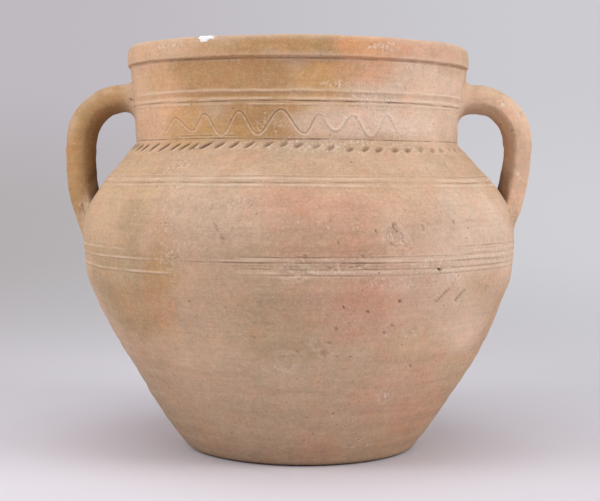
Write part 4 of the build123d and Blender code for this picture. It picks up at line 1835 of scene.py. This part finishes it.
    def _knead(self, rings: Array) -> tuple[Array, Relief]:
        """Press the handle out of true and mark its damage.

        Args:
            rings: Points by ring and place round the ring.

        Returns:
            The moved points, and the marks of each point.
        """
        along = np.gradient(rings, axis=0)
        around = np.roll(rings, -1, axis=1) - np.roll(rings, 1, axis=1)
        normal = np.cross(around, along)
        normal /= np.maximum(np.linalg.norm(normal, axis=2), 1e-9)[:, :, None]
        middle = rings.mean(axis=1, keepdims=True)
        facing = np.sign(((rings - middle) * normal).sum(axis=2))
        normal *= np.where(facing == 0, 1.0, np.median(facing))[:, :, None]
        flat = rings.reshape(-1, 3)
        gap = np.abs(self._outside_gap(flat))
        calm = ramp(gap, 0.3, 7.0)
        swell = 0.26 * Ripple(self.seed, 50.0).at(flat) + 0.16 * Ripple(self.seed + 1, 15.0).at(flat)
        relief = Relief.flat(len(flat))
        relief.height = calm * (swell + 0.07 * Ripple(self.seed + 2, 6.0).at(flat))
        front = ramp(-flat[:, 1], -4.0, 2.0)
        out, level, radius = self.torn
        torn = (1.0 - ramp(self._from_spot(flat, out, level) / radius, 0.4, 1.1)) * front
        lumps = Ripple(self.seed + 4, 3.6).at(flat)
        relief.height += 0.55 * torn * lumps * ramp(gap, 0.2, 2.0)
        relief.cut = 1.2 * torn * ramp(-lumps, 0.4, 1.1)
        relief.crust = 0.8 * torn * ramp(lumps, 0.3, 1.1)
        for out, level, radius, depth in self.dents:
            core = hill(self._from_spot(flat, out, level), radius) * front
            relief.lay(slice(None), -depth * core, min(STRONGEST_MARK, 0.9 * depth) * core, 0.0, 0.0)
        for out, level, radius in self.flecks:
            fleck = STRONGEST_MARK * hill(self._from_spot(flat, out, level), radius) * front
            relief.lay(slice(None), 0.0, 0.0, fleck, fleck)
        turn = even_turns(self.around)
        # Pale band along the outer edge of the upper handle: wear and a painted highlight.
        rubbed_and_highlight = np.tile(ramp(np.cos(turn), 0.45, 0.85), len(rings))
        rubbed_and_highlight = rubbed_and_highlight * ramp(flat[:, 2], 260.0, 290.0)
        rubbed_and_highlight *= 0.45 + 0.55 * ramp(Ripple(self.seed + 3, 16.0).at(flat), -1.2, 0.8)
        down = np.linspace(0.0, 1.0, len(rings))[:, None]
        # Painted shadow, laid as dark marks, on the inner side where the handle's foot meets the shoulder.
        crease = (1.0 - ramp(np.cos(turn), -0.4, 0.15)) * ramp(down, 0.85, 0.96)
        relief.lay(slice(None), 0.0, 1.6 * crease.ravel(), 0.5 * rubbed_and_highlight * calm, 0.0)
        moved = flat + normal.reshape(-1, 3) * relief.height[:, None]
        return moved.reshape(rings.shape), relief

    def _wash(self, points: Array, inward: Array, down: Array) -> Array:
        """Colour of the handle's own clay.

        Args:
            points: Places on the handle, one per row.
            inward: How far each faces the jar, from -1 to 1.
            down: Share of the handle's length above each, from 0 to 1.

        Returns:
            Linear red, green and blue, one row per place, with painted shade on the side that faces the jar.
        """
        own = self.clay.linear() * (1.0 + 0.05 * self.weathering.broad_swell.at(points))[:, None]
        to_inner = self.inner.linear() / self.clay.linear() - 1.0
        own *= 1.0 + to_inner * ramp(inward, -0.05, self.turn_in)[:, None]
        # Painted shade on the side that faces the jar.
        own *= 1.0 - self.shade * ramp(inward, -0.8, 0.15)[:, None]
        # Painted shade along the innermost edge of the lower half.
        under = ramp(inward, 0.7, 1.0) * ramp(down, 0.4, 0.7)
        own *= 1.0 - 0.6 * self.shade * under[:, None]
        # Painted shadow on the inner side near the foot, where the handle meets the shoulder.
        corner = ramp(inward, 0.1, 0.6) * ramp(down, 0.7, 0.9)
        return own * (1.0 - 0.6 * corner[:, None])

    def build(self) -> Piece:
        """Draw the clay out as a straight roll, then bend it to the jar.

        Returns:
            The piece, with colours and marks on its vertices.
        """
        rings, relief = self._knead(self._rings())
        bpy.ops.object.select_all(action="DESELECT")
        bpy.ops.mesh.primitive_circle_add(vertices=self.around, radius=10.0 * MM, fill_type="NGON")
        piece = named(f"{self.side.name.lower()}_strap_handle")
        edit_whole()
        for _ in rings[1:]:
            bpy.ops.mesh.extrude_region_move(TRANSFORM_OT_translate={"value": (0.0, 0.0, MM)})
        bpy.ops.object.mode_set(mode="OBJECT")
        roll = read_points(piece)
        ring = np.rint(roll[:, 2]).astype(int)
        turned = np.arctan2(roll[:, 1], roll[:, 0]) / (2.0 * math.pi)
        spot = np.rint(turned * self.around).astype(int) % self.around
        order = ring * self.around + spot
        points = rings.reshape(-1, 3)[order]
        write_points(piece, points)
        close_smooth()
        marks = relief.taken(order)
        angle, radius, level = self.skin.form.unplace(points)
        away = ramp(radius - self.skin.form.outside(level), 0.0, 16.0)
        wall = self.weathering.wash(angle, level)
        inward = -np.cos(2.0 * math.pi * spot / self.around)
        own = self._wash(points, inward, ring / (len(rings) - 1.0))
        marks.crust = np.maximum(marks.crust, self.weathering.lime(angle, level) * (1.0 - 0.6 * away))
        write_marks(piece, wall + (own - wall) * away[:, None], marks)
        return piece

    def dress(self, piece: Piece, material: Material) -> None:
        """Give the handle its finish and fix it to the jar."""
        side = self.side.name.lower()
        settle(piece, material, tuple(f"{side}_{part}" for part in HANDLE_PARTS))


@dataclass
class LipFill:
    """The plaster that fills a break in the upper edge of the rim.

    It reaches down the face by its drop and over the top by its over. Its middle stands proud of the rim,
    and its border is sunk below that.
    """

    form: JarForm
    angle: float = -29.0
    half_width: float = 7.4
    drop: float = 5.0
    over: float = 4.0
    rounding: float = 2.0
    proud: float = 0.35
    sunk: float = 2.2
    thickness: float = 2.0
    cells: int = 56

    def build(self) -> Piece:
        """Lay a grid over the edge of the rim and thicken it.

        Returns:
            The piece.
        """
        bpy.ops.object.select_all(action="DESELECT")
        bpy.ops.mesh.primitive_grid_add(x_subdivisions=self.cells, y_subdivisions=self.cells, size=2.0 * MM)
        piece = named("lip_plaster")
        grid = read_points(piece)
        lump = np.stack([grid[:, 0] * 5.0, grid[:, 1] * 4.0, np.zeros(len(grid))], axis=1)
        uneven = Ripple(83, 3.2).at(lump)
        far = (np.abs(grid[:, 0]) ** 3 + np.abs(grid[:, 1]) ** 3) ** (1 / 3) + 0.14 * uneven
        proud = self.proud + 0.12 * Ripple(89, 1.6).at(lump) - self.sunk * ramp(far, 0.72, 1.05)
        round_rim = grid[:, 0] * self.half_width
        along = (grid[:, 1] + 1.0) / 2.0 * (self.drop + self.over) - self.drop
        half_edge = self.rounding * math.pi / 4
        bend = np.clip((along + half_edge) / self.rounding, 0.0, math.pi / 2)
        centre_radius = self.form.rim_top_radius - self.rounding
        centre_level = self.form.top_level - self.rounding
        below = np.minimum(along + half_edge, 0.0)
        above = np.maximum(along - half_edge, 0.0)
        radius = centre_radius + (self.rounding + proud) * np.cos(bend) - above
        level = centre_level + (self.rounding + proud) * np.sin(bend) + below
        level = np.minimum(level, self.form.top_level - 0.05)
        angle = self.angle + np.degrees(round_rim / self.form.rim_top_radius)
        write_points(piece, self.form.place(angle, radius, level))
        thick = piece.modifiers.new("thickness", "SOLIDIFY")
        thick.thickness = self.thickness * MM
        thick.offset = -1.0
        bpy.ops.object.modifier_apply(modifier=thick.name)
        close_smooth()
        return piece

    def dress(self, piece: Piece, material: Material) -> None:
        """Give the fill its finish and fix it to the jar."""
        settle(piece, material, ("rim_chip_fill",))


@dataclass(frozen=True)
class Lamp:
    """A soft square studio lamp, with places in metres and power in watts."""

    name: str
    place: tuple[float, float, float]
    aim: tuple[float, float, float]
    size: float
    power: float

    def hang(self) -> None:
        """Make the lamp and point it."""
        light = bpy.data.lights.new(self.name, "AREA")
        light.size = self.size
        light.energy = self.power
        lamp = bpy.data.objects.new(self.name, light)
        lamp.location = self.place
        lamp.rotation_euler = (Vector(self.aim) - Vector(self.place)).to_track_quat("-Z", "Y").to_euler()
        lamp.visible_camera = False
        bpy.context.scene.collection.objects.link(lamp)


@dataclass
class Studio:
    """Paper sweep, lamps and camera, in metres and degrees."""

    floor_radius: float = 2.4
    sweep_radius: float = 1.0
    wall_height: float = 1.6
    sweep_steps: int = 96
    lamps: tuple[Lamp, ...] = (
        Lamp("right_lamp", (1.7, -0.9, 1.3), (0.0, 0.0, 0.2), 1.1, 22.0),
        Lamp("left_lamp", (-1.7, -0.9, 1.3), (0.0, 0.0, 0.2), 1.1, 18.0),
        Lamp("top_lamp", (0.0, -0.5, 2.1), (0.0, 0.0, 0.2), 1.6, 11.0),
    )
    sky: float = 0.5
    sky_colour: Colour = (0.97, 0.97, 1.0, 1.0)
    camera_place: tuple[float, float, float] = (0.0, -1.2088, 0.2479)
    lens: float = 80.08
    pitch: float = 3.431
    roll: float = 0.393
    yaw: float = -0.079

    def build_sweep(self) -> Piece:
        """Floor that curves up all round into a wall.

        Returns:
            The sweep.
        """
        outline = [(0.0, 0.0), (self.floor_radius, 0.0)]
        for bend in quarter_turn(12, 1):
            radius = self.floor_radius + self.sweep_radius * math.sin(bend)
            outline.append((radius, self.sweep_radius * (1.0 - math.cos(bend))))
        outline.append((outline[-1][0], self.wall_height))
        rows = [(radius / MM, level / MM) for radius, level in outline]
        sweep = spun("paper_sweep", rows, self.sweep_steps, False)
        sweep.data.attributes.remove(sweep.data.attributes["row"])
        edit_whole()
        bpy.ops.mesh.flip_normals()
        bpy.ops.object.mode_set(mode="OBJECT")
        return sweep

    def dress_sweep(self, sweep: Piece, material: Material) -> None:
        """Lay the paper.

        Args:
            sweep: Floor and wall.
            material: Paper.
        """
        sweep.data.materials.append(material)
        sweep.visible_shadow = False

    def light(self) -> None:
        """Hang the lamps and set the soft light of the room."""
        for lamp in self.lamps:
            lamp.hang()
        world = bpy.data.worlds.new("studio_air")
        world.use_nodes = True
        air = world.node_tree.nodes["Background"]
        air.inputs["Color"].default_value = self.sky_colour
        air.inputs["Strength"].default_value = self.sky
        bpy.context.scene.world = world

    def set_camera(self) -> None:
        """Place the camera where the jar is seen from."""
        lens = bpy.data.cameras.new("studio_camera")
        lens.lens = self.lens
        lens.clip_start = 0.05
        camera = bpy.data.objects.new("studio_camera", lens)
        turn = Matrix.Rotation(math.radians(self.yaw), 4, "Z")
        tilt = Matrix.Rotation(math.radians(90.0 - self.pitch), 4, "X")
        roll = Matrix.Rotation(math.radians(self.roll), 4, "Z")
        camera.matrix_world = Matrix.Translation(self.camera_place) @ turn @ tilt @ roll
        bpy.context.scene.collection.objects.link(camera)
        bpy.context.scene.camera = camera
        bpy.context.scene.view_settings.view_transform = "Standard"


def wall_sections(skin: WallSkin, weathering: Weathering) -> list[TurnedSection]:
    """The thrown rings of the jar, from the foot to the rim.

    Args:
        skin: Outside of the jar.
        weathering: Colours of the jar.

    Returns:
        The rings, with close rows where lines are cut.
    """
    shoulder = ((174.4, 192.0, 0.6), (192.0, 231.5, 1.7), (231.5, 245.5, 0.55), (245.5, 258.5, 1.4))
    rings = (
        ("thrown_lower_wall", "lower_wall", ((24.0, 162.0, 1.95), (162.0, 174.4, 0.6)), 800, 6.0),
        ("thrown_shoulder", "shoulder_wall", shoulder, 800, 6.0),
        ("notched_shoulder", "shoulder_wall", ((258.5, 271.6, 0.4),), 1600, 3.5),
        ("scratched_neck", "neck_collar", ((271.6, 298.6, 0.55),), 1600, 5.0),
        ("turned_neck", "neck_collar", ((298.6, 314.0, 0.5), (314.0, 338.0, 1.3)), 800, 5.0),
    )
    return [
        BaseDish("thrown_base", ("base_dish",), skin, weathering, (), 720),
        *(TurnedSection(name, (node,), skin, weathering, *sizes) for name, node, *sizes in rings),
        RimRing("turned_rim", ("rim_ring",), skin, weathering, (), 896),
    ]


def handles(skin: WallSkin, weathering: Weathering) -> list[StrapHandle]:
    """The two handles, which differ a little.

    Args:
        skin: Outside of the jar.
        weathering: Colours of the jar.

    Returns:
        The left and the right handle.
    """
    left_spine = (
        (131.4, 311.0), (145.4, 311.3), (159.4, 311.5), (174.0, 308.0), (187.0, 297.8), (194.3, 284.0),
        (196.6, 267.2), (196.5, 249.2), (194.7, 231.2), (190.4, 213.0), (184.1, 195.0), (174.1, 175.0),
    )
    right_spine = (
        (133.8, 311.9), (147.8, 312.1), (161.8, 312.1), (175.3, 309.1), (187.9, 299.5), (195.2, 285.9),
        (197.3, 269.9), (196.2, 251.7), (193.8, 235.7), (189.1, 217.7), (183.2, 200.7), (173.8, 179.7),
    )
    left_dents = (
        (148.8, 309.6, 1.1, 2.0), (145.4, 308.4, 1.2, 2.2),
        (144.4, 312.4, 1.0, 2.2), (143.6, 303.6, 1.2, 2.2),
    )
    right_dents = ((198.0, 300.0, 2.6, 0.6), (180.0, 318.0, 3.0, 0.5))
    right_flecks = ((196.0, 299.5, 2.0), (195.5, 246.0, 1.8), (197.5, 242.0, 1.2), (181.0, 308.0, 1.6))
    return [
        StrapHandle(Side.LEFT, left_spine, skin, weathering, Clay.OCHRE, Clay.OCHRE, 26.2, 40.0, left_dents,
                    taper=0.1, shade=0.3, neck_spread=(6.0, 9.0, 12.0)),
        StrapHandle(Side.RIGHT, right_spine, skin, weathering, Clay.FAWN, Clay.SAND, 25.0, 40.0, right_dents,
                    right_flecks, squareness=1.5, turn_in=0.14, lean=0.3, torn=(190.0, 207.0, 10.0),
                    shade=0.0, neck_spread=(14.0, 9.0, 12.0), seed=97),
    ]


def main() -> None:
    """Build the jar piece by piece, then the studio round it."""
    logging.basicConfig(level=logging.INFO, format="%(relativeCreated)d %(message)s")
    form = JarForm()
    skin = WallSkin(form)
    weathering = Weathering(form)
    clay = FiredClay().make()
    for section in wall_sections(skin, weathering):
        section.dress(section.build(), clay)
    for handle in handles(skin, weathering):
        handle.dress(handle.build(), clay)
    fill = LipFill(form)
    fill.dress(fill.build(), PatchPlaster().make())
    studio = Studio()
    studio.dress_sweep(studio.build_sweep(), StudioPaper().make())
    studio.light()
    studio.set_camera()


if __name__ == "__main__":
    main()
